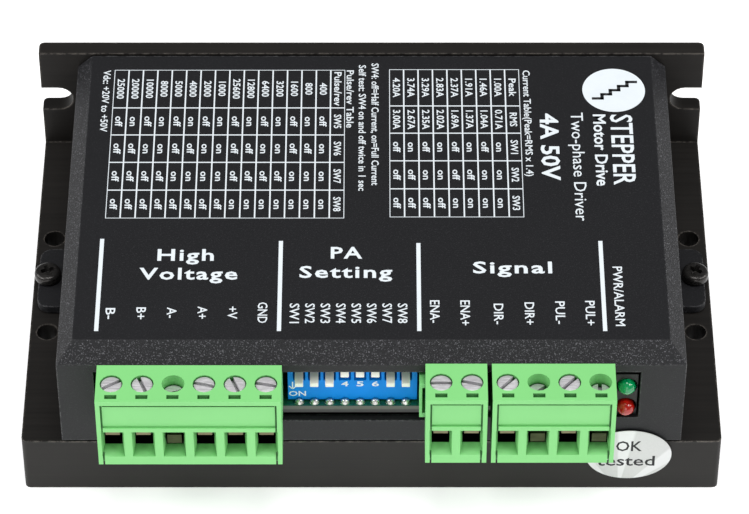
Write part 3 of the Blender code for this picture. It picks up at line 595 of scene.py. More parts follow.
@dataclass(frozen=True)
class MouldedPlastic:
    """An injection-moulded plastic with a fine spark-eroded grain, slight colour drift and painted shade in its
    recesses.
    """

    name: str
    colour: Rgb
    roughness: float = 0.4
    grain: float = 2600.0
    depth: float = 0.012 * MM
    drift: float = 0.9
    edge: float = 1.12
    gloss: float = 0.5
    # recess and the tint after it set how dark the painted shade in recesses gets.
    recess: float = 0.28
    deep_tint: Rgb = (1.0, 1.0, 1.0)

    def make(self) -> bpy.types.Material:
        """Returns the material."""
        made, sheet, shader = new_material(self.name, Specular_IOR_Level=self.gloss)
        grain = effect(sheet, "fine_grain", Scale=self.grain, Depth=self.depth, Strength=0.45)
        marks = effect(sheet, "dust_and_marks", Size=70.0, Specks=0.15)
        wear = effect(sheet, "edge_wear_and_highlight", Radius=0.12 * MM, Breakup=1500.0, Amount=0.85)
        base = sheet.blend(marks.outputs[0], self.colour, shade(self.colour, self.drift))
        lifted = sheet.blend(sheet.math("MULTIPLY", wear.outputs[0], 0.5), base, shade(self.colour, self.edge))
        # Painted shade: the colour is darkened where ambient occlusion finds little light getting in.
        deep = effect(sheet, "recess_shade", Reach=1.6 * MM)
        dark = tuple(part * self.recess * share for part, share in zip(self.colour, self.deep_tint))
        recess_shaded_colour = sheet.blend(deep.outputs[0], lifted, dark)
        rough = sheet.vary(self.roughness - 0.06, grain.outputs["Mask"], 0.14)
        sheet.wire(shader, Base_Color=recess_shaded_colour, Roughness=rough, Normal=grain.outputs["Normal"])
        return made


@dataclass(frozen=True)
class PowderCoat:
    """Baked black paint with a fine pebbled skin, painted glints on the pebbles of its slopes where they catch the
    light, and lighter edges that are partly wear and partly a painted highlight.
    """

    name: str
    colour: Rgb
    speck: Rgb
    rubbed: Rgb
    roughness: float = 0.5

    def make(self) -> bpy.types.Material:
        """Returns the material."""
        made, sheet, shader = new_material(self.name, Specular_IOR_Level=0.36)
        grain = effect(sheet, "fine_grain", Scale=3900.0, Depth=0.05 * MM, Strength=0.6)
        marks = effect(sheet, "dust_and_marks", Size=55.0, Specks=0.2)
        wear = effect(sheet, "edge_wear_and_highlight", Radius=0.5 * MM, Breakup=1300.0, Amount=0.5)
        # Painted glints: pale specks on the pebbled skin, put on sloped faces only, where the light catches them.
        pebble = sheet.ramp(grain.outputs["Mask"], ((0.57, 0.0), (0.64, 1.0)))
        sloped = sheet.add("NewGeometry").outputs["Normal"]
        lean = sheet.math("ABSOLUTE", sheet.add("SeparateXYZ", {0: sloped}).outputs[2])
        on_slope = sheet.ramp(lean, ((0.2, 0.12), (0.5, 1.0), (0.9, 1.0), (0.98, 0.1)))
        painted_glints = sheet.math("MULTIPLY", pebble, on_slope)
        base = sheet.blend(sheet.math("MULTIPLY", marks.outputs[0], 0.5), self.colour, shade(self.colour, 1.5))
        specked = sheet.blend(painted_glints, base, self.speck)
        # Lighter edges, partly wear and partly a painted highlight along the cover's edges.
        worn = sheet.blend(wear.outputs[0], specked, self.rubbed)
        rough = sheet.vary(self.roughness, grain.outputs["Mask"], 0.16)
        sheet.wire(shader, Base_Color=worn, Roughness=rough, Normal=grain.outputs["Normal"])
        return made


@dataclass(frozen=True)
class AnodisedExtrusion:
    """Black-anodised aluminium with lines along the extrusion and bright metal on worn edges."""

    name: str
    colour: Rgb
    bare: Rgb
    roughness: float = 0.46

    def make(self) -> bpy.types.Material:
        """Returns the material."""
        made, sheet, shader = new_material(self.name, Specular_IOR_Level=0.34)
        lines = effect(sheet, "drawn_lines", Fineness=1500.0, Length=14.0, Depth=0.02 * MM)
        marks = effect(sheet, "dust_and_marks", Size=60.0, Specks=0.5)
        wear = effect(sheet, "edge_wear_and_highlight", Radius=0.6 * MM, Breakup=1100.0, Amount=0.53)
        lined = sheet.blend(lines.outputs["Mask"], shade(self.colour, 0.4), shade(self.colour, 1.8))
        dusty = sheet.blend(sheet.math("MULTIPLY", marks.outputs[0], 0.55), lined, shade(self.colour, 2.0))
        worn = sheet.blend(wear.outputs[0], dusty, self.bare)
        metal = sheet.vary(0.25, wear.outputs[0], 0.6)
        rough = sheet.vary(self.roughness, lines.outputs["Mask"], 0.12)
        sheet.wire(shader, Base_Color=worn, Metallic=metal, Roughness=rough, Normal=lines.outputs["Normal"])
        return made


@dataclass(frozen=True)
class PlatedMetal:
    """Plated steel or brass with brushed marks, tarnish in patches, and painted shade in its recesses such as screw
    slots.
    """

    name: str
    colour: Rgb
    tarnish: Rgb
    roughness: float = 0.28
    metallic: float = 1.0

    def make(self) -> bpy.types.Material:
        """Returns the material."""
        made, sheet, shader = new_material(self.name, Metallic=self.metallic)
        lines = effect(sheet, "drawn_lines", Fineness=5200.0, Length=420.0, Depth=0.012 * MM)
        marks = effect(sheet, "dust_and_marks", Size=420.0, Specks=0.6)
        wear = effect(sheet, "edge_wear_and_highlight", Radius=0.08 * MM, Breakup=2500.0, Amount=0.7)
        streaks = sheet.ramp(lines.outputs["Mask"], ((0.38, 0.0), (0.6, 1.0)))
        brushed = sheet.blend(streaks, shade(self.colour, 0.66), self.colour)
        aged = sheet.blend(sheet.math("MULTIPLY", marks.outputs[0], 0.7), brushed, self.tarnish)
        rubbed = sheet.blend(wear.outputs[0], aged, tuple(min(1.0, part * 1.25) for part in self.colour))
        # Painted shade: recesses such as the driver slot are darkened towards a dark tarnish colour.
        deep = effect(sheet, "recess_shade", Reach=0.7 * MM)
        bright = sheet.blend(deep.outputs[0], rubbed, shade(self.tarnish, 0.25))
        rough = sheet.vary(self.roughness - 0.05, lines.outputs["Mask"], 0.2)
        sheet.wire(shader, Base_Color=bright, Roughness=rough, Normal=lines.outputs["Normal"])
        return made


@dataclass(frozen=True)
class ScreenInk:
    """Screen-printed ink, a little uneven."""

    name: str
    colour: Rgb
    roughness: float = 0.5

    def make(self) -> bpy.types.Material:
        """Returns the material."""
        made, sheet, shader = new_material(self.name, Specular_IOR_Level=0.35)
        grain = effect(sheet, "fine_grain", Scale=5200.0, Depth=0.004 * MM, Strength=0.3)
        marks = effect(sheet, "dust_and_marks", Size=300.0, Specks=0.0)
        thin = sheet.blend(sheet.math("MULTIPLY", marks.outputs[0], 0.35), self.colour, shade(self.colour, 0.8))
        rough = sheet.vary(self.roughness, grain.outputs["Mask"], 0.1)
        sheet.wire(shader, Base_Color=thin, Roughness=rough, Normal=grain.outputs["Normal"])
        return made


@dataclass(frozen=True)
class LampLens:
    """Tinted clear resin of a lamp, with faint flow lines."""

    name: str
    colour: Rgb
    clear: float = 0.55

    def make(self) -> bpy.types.Material:
        """Returns the material."""
        made, sheet, shader = new_material(
            self.name, Transmission_Weight=self.clear, IOR=1.53, Coat_Weight=0.4, Coat_Roughness=0.04
        )
        lines = effect(sheet, "drawn_lines", Fineness=700.0, Length=700.0, Depth=0.006 * MM)
        deep = sheet.blend(lines.outputs["Mask"], shade(self.colour, 0.8), shade(self.colour, 1.2))
        rough = sheet.vary(0.05, lines.outputs["Mask"], 0.07)
        sheet.wire(shader, Base_Color=deep, Roughness=rough, Normal=lines.outputs["Normal"])
        return made


@dataclass(frozen=True)
class LabelFoil:
    """Silvery label paper with pale rays that fan out from its lower edge."""

    name: str
    paper: Rgb
    ray: Rgb
    centre: Point

    def make(self) -> bpy.types.Material:
        """Returns the material."""
        made, sheet, shader = new_material(self.name, Metallic=0.15, Specular_IOR_Level=0.6)
        grain = effect(sheet, "fine_grain", Scale=4200.0, Depth=0.01 * MM, Strength=0.4)
        place = sheet.add("TexCoord").outputs["Object"]
        moved = sheet.add("VectorMath", {0: place, 1: tuple(-part for part in self.centre)}, operation="ADD")
        parts = sheet.add("SeparateXYZ", {0: moved.outputs[0]})
        angle = sheet.math("ARCTAN2", parts.outputs[2], parts.outputs[0])
        wave = sheet.math("SINE", sheet.math("ADD", sheet.math("MULTIPLY", angle, 9.0), 0.6))
        rays = sheet.ramp(wave, ((0.5, 0.0), (0.75, 1.0)))
        mottled = sheet.blend(grain.outputs["Mask"], shade(self.paper, 0.9), shade(self.paper, 1.08))
        drawn = sheet.blend(rays, mottled, self.ray)
        rough = sheet.vary(0.3, rays, 0.2)
        sheet.wire(shader, Base_Color=drawn, Roughness=rough, Normal=grain.outputs["Normal"])
        return made


@dataclass(frozen=True)
class BoardLacquer:
    """Green solder mask over copper tracks, with the glass laminate bare at the edges and a painted shadow on the
    lower part of the edges.
    """

    name: str
    mask: Rgb
    track: Rgb
    laminate: Rgb

    def make(self) -> bpy.types.Material:
        """Returns the material."""
        made, sheet, shader = new_material(self.name, Coat_Weight=0.25, Coat_Roughness=0.2)
        grain = effect(sheet, "fine_grain", Scale=3200.0, Depth=0.006 * MM, Strength=0.3)
        place = sheet.add("TexCoord").outputs["Object"]
        scaled = sheet.add("VectorMath", {0: place, 1: (420.0, 420.0, 0.0)}, operation="MULTIPLY").outputs[0]
        brick = sheet.add("TexBrick", {"Vector": scaled, "Scale": 1.0, "Mortar Size": 0.06, "Mortar Smooth": 0.1})
        tracks = sheet.blend(brick.outputs["Fac"], self.track, self.mask)
        normal = sheet.add("NewGeometry").outputs["Normal"]
        upright = sheet.math("ABSOLUTE", sheet.add("SeparateXYZ", {0: normal}).outputs[2])
        top = sheet.ramp(upright, ((0.4, 0.0), (0.6, 1.0)))
        # Painted shadow: the lower part of the board's edge is darkened, by height.
        level = sheet.add("SeparateXYZ", {0: place}).outputs[2]
        low, high = (corner.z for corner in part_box("circuit_board"))
        share = sheet.math("DIVIDE", sheet.math("SUBTRACT", level, low), high - low)
        edge = sheet.blend(sheet.ramp(share, ((0.4, 0.0), (0.55, 1.0))), shade(self.laminate, 0.06), self.laminate)
        base = sheet.blend(top, edge, tracks)
        rough = sheet.vary(0.35, grain.outputs["Mask"], 0.2)
        sheet.wire(shader, Base_Color=base, Roughness=rough, Normal=grain.outputs["Normal"])
        return made


class Finishes:
    """Every finish on the module, made once."""

    def __init__(self) -> None:
        """Makes the materials."""
        self.anodised = AnodisedExtrusion("black_anodising", (0.0115, 0.0101, 0.009), (0.21, 0.19, 0.17)).make()
        # Cover colours: the base, painted glints on the slopes, and lighter edges that are partly wear and partly
        # painted highlight.
        self.cover = PowderCoat(
            "black_powder_coat", (0.005, 0.0052, 0.0068), (0.115, 0.115, 0.126), (0.15, 0.15, 0.155)
        ).make()
        self.plug = MouldedPlastic(
            "terminal_green", (0.236, 0.672, 0.222), roughness=0.46, drift=0.94, gloss=0.4, deep_tint=GREEN_RECESS_SHADE_TINT
        ).make()
        self.header = MouldedPlastic(
            "header_green", (0.228, 0.646, 0.228), roughness=0.46, drift=0.9, deep_tint=GREEN_RECESS_SHADE_TINT
        ).make()
        self.zinc = PlatedMetal("zinc_plating", (0.86, 0.85, 0.87), (0.5, 0.46, 0.51), 0.32, 0.4).make()
        # Clamp brass: its colour is kept dark partly as painted shade of the wire entry, and the darker copy below is
        # painted shade for plates of low-set screws.
        self.nickel = PlatedMetal("nickelled_brass", (0.24, 0.21, 0.13), (0.1, 0.085, 0.045), 0.4).make()
        self.tarnished = PlatedMetal("brass_painted_shade", (0.07, 0.085, 0.04), (0.03, 0.035, 0.02), 0.5).make()
        # The cage's near-black colour is painted shade of the inside of the wire entries.
        self.cage = PlatedMetal("cage_steel_painted_shade", (0.05, 0.05, 0.05), (0.02, 0.018, 0.016), 0.5).make()
        self.black_steel = PlatedMetal("blackened_steel", (0.06, 0.057, 0.055), (0.02, 0.018, 0.017), 0.24, 0.8).make()
        self.solder = PlatedMetal("solder", (0.8, 0.79, 0.77), (0.45, 0.43, 0.4), 0.25).make()
        self.copper = PlatedMetal("tinned_lead", (0.75, 0.74, 0.72), (0.5, 0.47, 0.42), 0.3).make()
        self.board = BoardLacquer(
            "board_lacquer", (0.002, 0.07, 0.03), (0.004, 0.11, 0.048), (0.06, 0.072, 0.052)
        ).make()
        self.switch = MouldedPlastic(
            "switch_blue", (0.0, 0.25, 0.8), roughness=0.55, drift=0.92, gloss=0.16, recess=0.8
        ).make()
        self.lever = MouldedPlastic("lever_ivory", (0.95, 0.93, 0.86), roughness=0.4, recess=1.0).make()
        self.holder = MouldedPlastic("holder_black", (0.014, 0.014, 0.014), roughness=0.5, gloss=0.35).make()
        self.chip = MouldedPlastic("chip_epoxy", (0.016, 0.016, 0.017), roughness=0.62, gloss=0.3).make()
        self.sleeve = MouldedPlastic("capacitor_sleeve", (0.02, 0.03, 0.06), roughness=0.35).make()
        self.pad = MouldedPlastic("thermal_pad_grey", (0.3, 0.32, 0.33), roughness=0.8, grain=1400.0).make()
        self.white_ink = ScreenInk("white_ink", (0.8, 0.86, 0.9)).make()
        self.black_ink = ScreenInk("black_ink", (0.012, 0.012, 0.014)).make()
        self.green_lens = LampLens("green_lens", (0.0, 0.6, 0.2)).make()
        self.red_lens = LampLens("red_lens", (0.95, 0.02, 0.01)).make()
        label = middle("inspection_label")
        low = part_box("inspection_label")[0]
        self.foil = LabelFoil(
            "label_foil", (0.6, 0.61, 0.6), (0.76, 0.77, 0.77), (label.x - 1.5 * MM, label.y, low.z - 3.0 * MM)
        ).make()


# ---------------------------------------------------------------------------------------------
# Print
# ---------------------------------------------------------------------------------------------


class Lettering:
    """Sets words as thin raised ink. Each word is cast once and copied where it repeats."""

    def __init__(self) -> None:
        """Starts with no word cast, and measures the height of a capital."""
        self.cast: dict[tuple[str, float, float], bpy.types.Object] = {}
        self.capital = self.word("H", 0.0, 1.0).dimensions.y

    def word(self, text: str, weight: float, spacing: float) -> bpy.types.Object:
        """Casts a word one unit thick, centred on its length, with its baseline on X.

        Args:
            text: the letters.
            weight: how far the strokes are thickened, as a share of the type size.
            spacing: the room each letter takes, as a share of its own.

        Returns:
            The cast word, kept for copying.
        """
        key = (text, weight, spacing)
        if key not in self.cast:
            bpy.ops.object.text_add()
            made = bpy.context.active_object
            made.data.body = text
            made.data.resolution_u = 2
            made.data.offset = weight
            made.data.space_character = spacing
            made.data.extrude = 0.5
            take_up(made)
            bpy.ops.object.convert(target="MESH")
            made = bpy.context.active_object
            xs = [vertex.co.x for vertex in made.data.vertices]
            made.data.transform(Matrix.Translation((-(min(xs) + max(xs)) / 2, 0.0, 0.0)))
            made.name = "cast_word"
            self.cast[key] = made
        return self.cast[key]

    def set(
        self, text: str, centre: Point, cap: float, reading: Reading, length: float = 0.0, weight: float = 0.0,
        spacing: float = 1.0, stretch: float = 1.0,
    ) -> bpy.types.Object:
        """Sets a word on a surface.

        Args:
            text: the letters.
            centre: middle of the word, on the surface.
            cap: height of a capital, in metres.
            reading: how the line lies.
            length: length of the word in metres, or 0 for the type's own.
            weight: thickening of the strokes.
            spacing: the room each letter takes.
            stretch: how much wider than its own the type is, where no length is given.

        Returns:
            The word as a mesh, in place.
        """
        cast = self.word(text, weight, spacing)
        tall = cap / self.capital
        xs = [vertex.co.x for vertex in cast.data.vertices]
        wide = length / (max(xs) - min(xs)) if length else tall * stretch
        about_x, about_z = (math.radians(angle) for angle in reading.value)
        place = (
            Matrix.Translation(centre)
            @ Matrix.Rotation(about_z, 4, "Z")
            @ Matrix.Rotation(about_x, 4, "X")
            @ Matrix.Translation((0.0, -cap / 2, 0.0))
            @ Matrix.Diagonal((wide, tall, INK_THICKNESS, 1.0))
        )
        return copy_at(cast, "set_word", place)

    def clear(self) -> None:
        """Removes the cast words once all print is set."""
        for cast in self.cast.values():
            bpy.data.objects.remove(cast, do_unlink=True)
        self.cast.clear()


def ink_bar(low: tuple[float, float], high: tuple[float, float], z: float) -> bpy.types.Object:
    """A printed bar on a level surface.

    Args:
        low: (x, y) of one corner in metres.
        high: (x, y) of the other.
        z: level of the surface.

    Returns:
        The bar.
    """
    half = INK_THICKNESS / 2
    bar = block("ink_bar", (*low, z - half), (*high, z + half))
    apply_modifier(bar, "BEVEL", width=0.12 * MM, segments=2, affect="VERTICES")
    return bar


@dataclass
class TableFrame:
    """The ruled lines of a printed table: columns of one width, and one taller row."""

    left: float
    top: float
    columns: int
    pitch: float
    first_row: float
    row: float
    rows: int = 5
    line: float = 0.24 * MM

    def centre(self, column: int, row: int) -> tuple[float, float]:
        """Returns (x, y) of the middle of a cell, counted from the left column and the top row."""
        x = self.left + (column + 0.5) * self.pitch
        if row == 0:
            return x, self.top - self.first_row / 2
        return x, self.top - self.first_row - (row - 0.5) * self.row

    def build(self, z: float) -> bpy.types.Object:
        """Rules the table.

        Args:
            z: level of the surface.

        Returns:
            The ruled lines as one mesh.
        """
        width, height = self.columns * self.pitch, self.rows * self.row
        bottom = self.top - self.first_row - (self.rows - 1) * self.row
        bpy.ops.mesh.primitive_grid_add(x_subdivisions=self.columns, y_subdivisions=self.rows, size=1.0)
        grid = bpy.context.active_object
        grid.scale = (width, height, 1.0)
        grid.location = (self.left + width / 2, bottom + height / 2, z - INK_THICKNESS / 2)
        settle(grid)
        edge = bottom + height
        for vertex in grid.data.vertices:
            vertex.select = vertex.co.y > edge - self.row / 2
        for part in (*grid.data.edges, *grid.data.polygons):
            part.select = False
        bpy.ops.object.mode_set(mode="EDIT")
        bpy.ops.mesh.select_mode(type="VERT")
        bpy.ops.transform.translate(value=(0.0, self.first_row - self.row, 0.0))
        bpy.ops.mesh.select_mode(type="FACE")
        bpy.ops.mesh.select_all(action="SELECT")
        bpy.ops.mesh.inset(thickness=self.line / 2, use_individual=True)
        bpy.ops.mesh.delete(type="FACE")
        bpy.ops.mesh.select_all(action="SELECT")
        bpy.ops.mesh.extrude_region_move(TRANSFORM_OT_translate={"value": (0.0, 0.0, INK_THICKNESS)})
        bpy.ops.mesh.select_all(action="SELECT")
        bpy.ops.mesh.normals_make_consistent(inside=False)
        bpy.ops.object.mode_set(mode="OBJECT")
        return grid


def switch_states(ways: int) -> list[list[str]]:
    """On and off for every setting of some switches, in binary order.

    Args:
        ways: how many switches there are.

    Returns:
        The words of each setting, one for each switch.
    """
    return [["off" if number >> way & 1 else "on" for way in range(ways)] for number in range(2**ways)]


@dataclass
class TopPrint:
    """All the white print on top of the cover."""

    level: float
    small_cap: float = 1.22 * MM
    state_stretch: float = 1.32
    number_stretch: float = 1.15
    label_cap: float = 1.56 * MM
    heading_cap: float = 2.6 * MM
    bars: tuple = ((-45.55, 5.3, 26.7), (-15.3, 5.3, 26.2), (7.93, 5.3, 25.7), (38.7, 5.3, 26.2))
    bar_width: float = 0.7
    headings: tuple = (
        ("High", -31.3, 22.9, 9.5), ("Voltage", -30.7, 18.5, 16.5), ("PA", -4.2, 23.4, 5.3),
        ("Setting", -4.3, 18.9, 15.6), ("Signal", 23.7, 19.95, 13.3),
    )
    labels: tuple = (
        ("B-", -43.4, 9.3, 2.5), ("B+", -38.3, 9.35, 2.7), ("A-", -33.2, 9.5, 2.4), ("A+", -28.1, 9.5, 2.8),
        ("+V", -23.1, 9.5, 2.8), ("GND", -18.1, 9.5, 4.7), ("ENA-", 10.55, 9.75, 5.15), ("ENA+", 15.6, 9.45, 5.7),
        ("DIR-", 21.15, 9.2, 4.7), ("DIR+", 26.3, 9.3, 5.1), ("PUL-", 31.4, 9.5, 5.15), ("PUL+", 36.4, 9.4, 5.6),
        ("PWR/ALARM", 41.3, 13.3, 13.7),
    )
    switch_label: tuple[float, float, float, float] = (-12.8, 2.57, 9.35, 4.5)

    def at(self, x: float, y: float) -> Point:
        """Returns a place on the cover from millimetres along and behind the front face."""
        return (x * MM, behind_front(y), self.level)

    def step_table(self, letters: Lettering) -> bpy.types.Object:
        """The table of steps a turn, on the left.

        Args:
            letters: the lettering set.

        Returns:
            The joined print.
        """
        table = TableFrame(-45.3 * MM, behind_front(68.5), 16, 2.541 * MM, 9.7 * MM, 6.8 * MM)
        doubled = [str(400 * 2**power) for power in range(7)]
        even = [str(1000 * steps) for steps in (1, 2, 4, 5, 8, 10, 20, 25)]
        columns = [["Pulse/rev", "SW5", "SW6", "SW7", "SW8"]]
        states = switch_states(4)
        columns += [[value, *states[number]] for number, value in enumerate(doubled + even, start=1)]
        return self.fill(letters, table, columns, "step_table_print")

    def current_table(self, letters: Lettering) -> bpy.types.Object:
        """The table of motor currents, on the right.

        Args:
            letters: the lettering set.

        Returns:
            The joined print.
        """
        table = TableFrame(3.1 * MM, behind_front(68.65), 9, 2.544 * MM, 9.35 * MM, 6.86 * MM)
        columns = [["Peak", "RMS", "SW1", "SW2", "SW3"]]
        for number, state in enumerate(switch_states(3)):
            peak = 1.0 + 3.2 * number / 7
            columns.append([f"{peak:.2f}A", f"{peak / 1.4:.2f}A", *state])
        return self.fill(letters, table, columns, "current_table_print")

    def fill(
        self, letters: Lettering, table: TableFrame, columns: list[list[str]], name: str
    ) -> bpy.types.Object:
        """Rules a table and sets its words, with the first column at the right.

        Args:
            letters: the lettering set.
            table: the ruled lines.
            columns: the words of each column, from the right.
            name: name of the joined print.

        Returns:
            The joined print.
        """
        pieces = [table.build(self.level)]
        for index, words in enumerate(columns):
            for row, text in enumerate(words):
                x, y = table.centre(table.columns - 1 - index, row)
                stretch = self.state_stretch if text in ("on", "off") else self.number_stretch
                length = min(8.6, 1.15 * len(text)) * MM if index == 0 else 0.0
                pieces.append(letters.set(
                    text, (x, y, self.level), self.small_cap, Reading.DOWN, length, weight=0.014, stretch=stretch
                ))
        return join(pieces, name)

    def notes(self, letters: Lettering) -> bpy.types.Object:
        """The turned lines beside the tables.

        Args:
            letters: the lettering set.

        Returns:
            The joined print.
        """
        lines = (
            ("Pulse/rev Table", -3.75, 61.1, 14.6), ("Self test: SW4 on and off twice in 1 sec", -1.62, 54.0, 31.5),
            ("SW4: off=Half Current, on=Full Current", 0.62, 54.9, 30.6),
            ("Current Table(Peak=RMS x 1.4)", 27.25, 55.1, 26.6), ("Vdc: +20V to +50V", -46.6, 60.6, 15.6),
        )
        pieces = [
            letters.set(text, self.at(x, y), self.small_cap, Reading.DOWN, length * MM, weight=0.012)
            for text, x, y, length in lines
        ]
        return join(pieces, "notes_print")

    def titles(self, letters: Lettering) -> bpy.types.Object:
        """The large turned titles at the right end.

        Args:
            letters: the lettering set.

        Returns:
            The joined print.
        """
        lines = (
            ("STEPPER", 43.5, 48.4, 3.7, 17.4, 0.012), ("Motor Drive", 39.7, 48.3, 2.1, 17.7, 0.018),
            ("Two-phase Driver", 35.8, 44.3, 2.1, 26.6, 0.0), ("4A 50V", 30.9, 49.1, 3.0, 16.6, 0.022),
        )
        pieces = [
            letters.set(text, self.at(x, y), cap * MM, Reading.DOWN, length * MM, weight)
            for text, x, y, cap, length, weight in lines
        ]
        return join(pieces, "title_print")

    def headings_and_labels(self, letters: Lettering) -> bpy.types.Object:
        """The headings, the bars between them and the names of the terminals and switches.

        Args:
            letters: the lettering set.

        Returns:
            The joined print.
        """
        pieces = []
        for x, near, far in self.bars:
            half = self.bar_width / 2
            low, high = self.at(x - half, near), self.at(x + half, far)
            pieces.append(ink_bar(low[:2], high[:2], self.level))
        for text, x, y, length in self.headings:
            place = self.at(x, y)
            pieces.append(letters.set(
                text, place, self.heading_cap, Reading.ALONG, length * MM, weight=0.02, spacing=1.14
            ))
        first, pitch, far, long = self.switch_label
        switches = tuple((f"SW{way}", first + pitch * (way - 1), far, long) for way in range(1, 9))
        for text, x, y, length in (*self.labels, *switches):
            pieces.append(letters.set(text, self.at(x, y), self.label_cap, Reading.DOWN, length * MM, weight=0.008))
        return join(pieces, "heading_print")

    def emblem(self) -> tuple[bpy.types.Object, bpy.types.Object]:
        """A plain round badge with a stair-step wave on it.

        Returns:
            The white disc and the dark wave.
        """
        x, y, z = self.at(42.5, 63.3)
        half = INK_THICKNESS / 2
        disc = turned("emblem_disc", [(5.5 * MM, -half), (5.5 * MM, half)], sides=96)
        disc.location = (x, y, z)
        settle(disc)
        line, rise, run = 0.6 * MM, 1.05 * MM, 1.5 * MM
        steps = []
        top = z + INK_THICKNESS
        for step in range(5):
            left, low = x - 3.9 * MM + step * run, y - 2.4 * MM + step * rise
            end = left + run + line
            steps.append(block("tread", (left, low, z), (end, low + line, top)))
            if step < 4:
                steps.append(block("riser", (left + run, low, z), (end, low + rise + line, top)))
        for step in steps:
            apply_modifier(step, "BEVEL", width=0.1 * MM, segments=2, affect="VERTICES")
        return disc, join(steps, "emblem_wave")

    def dress(self, letters: Lettering, finishes: Finishes) -> None:
        """Prints everything on the cover.

        Args:
            letters: the lettering set.
            finishes: the module's finishes.
        """
        prints = [
            self.step_table(letters), self.current_table(letters), self.notes(letters), self.titles(letters),
            self.headings_and_labels(letters),
        ]
        disc, wave = self.emblem()
        for piece in (*prints, disc):
            finish_piece(piece, finishes.white_ink, Body.ROOT.value)
            log.info("%s: %d faces", piece.name, len(piece.data.polygons))
        finish_piece(wave, finishes.cover, Body.ROOT.value)


# ---------------------------------------------------------------------------------------------
# Casing
# ---------------------------------------------------------------------------------------------


@dataclass
class Casing:
    """Heatsink, cover, the two screws that hold them together, and the label."""

    cover_round: float = 0.14 * MM
    gap_under_board: float = 1.1 * MM
    heatsink_round: float = 0.22 * MM
    screw_head: float = 2.3 * MM
    head_height: float = 1.7 * MM
    recess: float = 1.62 * MM
    recess_width: float = 0.85 * MM
    recess_depth: float = 1.2 * MM
    recess_taper: float = 0.45

    def cover(self, finishes: Finishes) -> None:
        """The sheet cover, with a gap under the board's edge and its folded edges rounded.

        Args:
            finishes: the module's finishes.
        """
        shell = from_cad("cover", "cover_shell")
        left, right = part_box("power_plug")[1].x - 1.0 * MM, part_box("enable_plug")[0].x + 1.0 * MM
        under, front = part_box("circuit_board")[0].z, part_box("cover")[0].y
        cut(shell, block(
            "board_gap", (left, front - 1.0 * MM, under - self.gap_under_board),
            (right, front + 2.6 * MM, under + 1.0 * MM),
        ))
        soften(shell, self.cover_round, 2)
        finish_piece(shell, finishes.cover, Body.ROOT.value, ("cover",))
        log.info("cover_shell: %d faces", len(shell.data.polygons))

    def heatsink(self, finishes: Finishes) -> None:
        """The extrusion with eased edges.

        Args:
            finishes: the module's finishes.
        """
        base = from_cad("heatsink", "heatsink_extrusion")
        soften(base, self.heatsink_round, 2)
        finish_piece(base, finishes.anodised, Body.ROOT.value, ("heatsink",))
        log.info("heatsink_extrusion: %d faces", len(base.data.polygons))

    def pan_screw(self) -> bpy.types.Object:
        """A domed pan head with a tapered cross recess, its top at the origin, on a threaded shank.

        Returns:
            The screw, to be copied.
        """
        radius, edge = self.screw_head, 0.75 * MM
        low = -self.head_height
        rings = [(1.0 * MM, low - 5.0 * MM), (1.2 * MM, low - 4.8 * MM)]
        for turn in range(9):
            z = low - 4.6 * MM + turn * 0.5 * MM
            rings += [(1.2 * MM, z), (1.02 * MM, z + 0.25 * MM)]
        rings += [(1.2 * MM, low), (radius - 0.1 * MM, low), (radius, low + 0.1 * MM)]
        rings += rounding(radius - edge, -0.12 * MM - edge, edge, 0, 78, 8)
        rings += [(0.9 * MM, -0.02 * MM), (0.3 * MM, 0.0)]
        screw = turned("cover_screw", rings)
        for turn in (0, 90):
            half = self.recess_width / 2
            arm = block("arm", (-self.recess, -half, -self.recess_depth), (self.recess, half, 1.0 * MM))
            for vertex in arm.data.vertices:
                if vertex.co.z < 0:
                    vertex.co.x *= self.recess_taper
            arm.data.transform(Matrix.Rotation(math.radians(turn), 4, "Z"))
            cut(screw, arm)
        return soften(screw, 0.05 * MM, 2, 40.0)

    def screws(self, finishes: Finishes) -> None:
        """Copies the pan screw to both tabs.

        Args:
            finishes: the module's finishes.
        """
        master = self.pan_screw()
        for side, angle in (("left", 18.0), ("right", -28.0)):
            node = f"cover_screw_{side}"
            low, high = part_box(node)
            place = Matrix.Translation(((low.x + high.x) / 2, (low.y + high.y) / 2, high.z))
            screw = copy_at(master, f"{node}_pan", place @ Matrix.Rotation(math.radians(angle), 4, "Z"))
            finish_piece(smooth(screw), finishes.black_steel, Body.ROOT.value, (node,))
        bpy.data.objects.remove(master, do_unlink=True)
        log.info("cover screws: 2")

    def label(self, letters: Lettering, finishes: Finishes) -> None:
        """The oval inspection label and its two words.

        Args:
            letters: the lettering set.
            finishes: the module's finishes.
        """
        low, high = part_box("inspection_label")
        centre = (low + high) / 2
        half_w, half_h = (high.x - low.x) / 2, (high.z - low.z) / 2
        thick = (high.y - low.y) / 2
        oval = turned("label_oval", [(half_h - 0.06 * MM, -thick), (half_h, -thick * 0.4), (half_h, thick * 0.4),
                                     (half_h - 0.06 * MM, thick)], sides=96)
        oval.scale = (half_w / half_h, 1.0, 1.0)
        settle(oval)
        oval.rotation_euler = (math.radians(90), 0.0, 0.0)
        oval.location = centre
        settle(oval)
        finish_piece(smooth(oval), finishes.foil, Body.ROOT.value, ("inspection_label",))
        face = low.y
        lines = (("OK", centre.x, centre.z + 2.2 * MM, 2.4 * MM, 4.4 * MM),
                 ("tested", centre.x - 0.4 * MM, centre.z - 1.5 * MM, 2.4 * MM, 9.8 * MM))
        words = [letters.set(text, (x, face + INK_THICKNESS / 3, z), cap, Reading.STANDING, length, 0.012)
                 for text, x, z, cap, length in lines]
        finish_piece(join(words, "label_words"), finishes.black_ink, Body.ROOT.value)
        log.info("inspection label: oval and words")


# ---------------------------------------------------------------------------------------------
# Terminals
# ---------------------------------------------------------------------------------------------


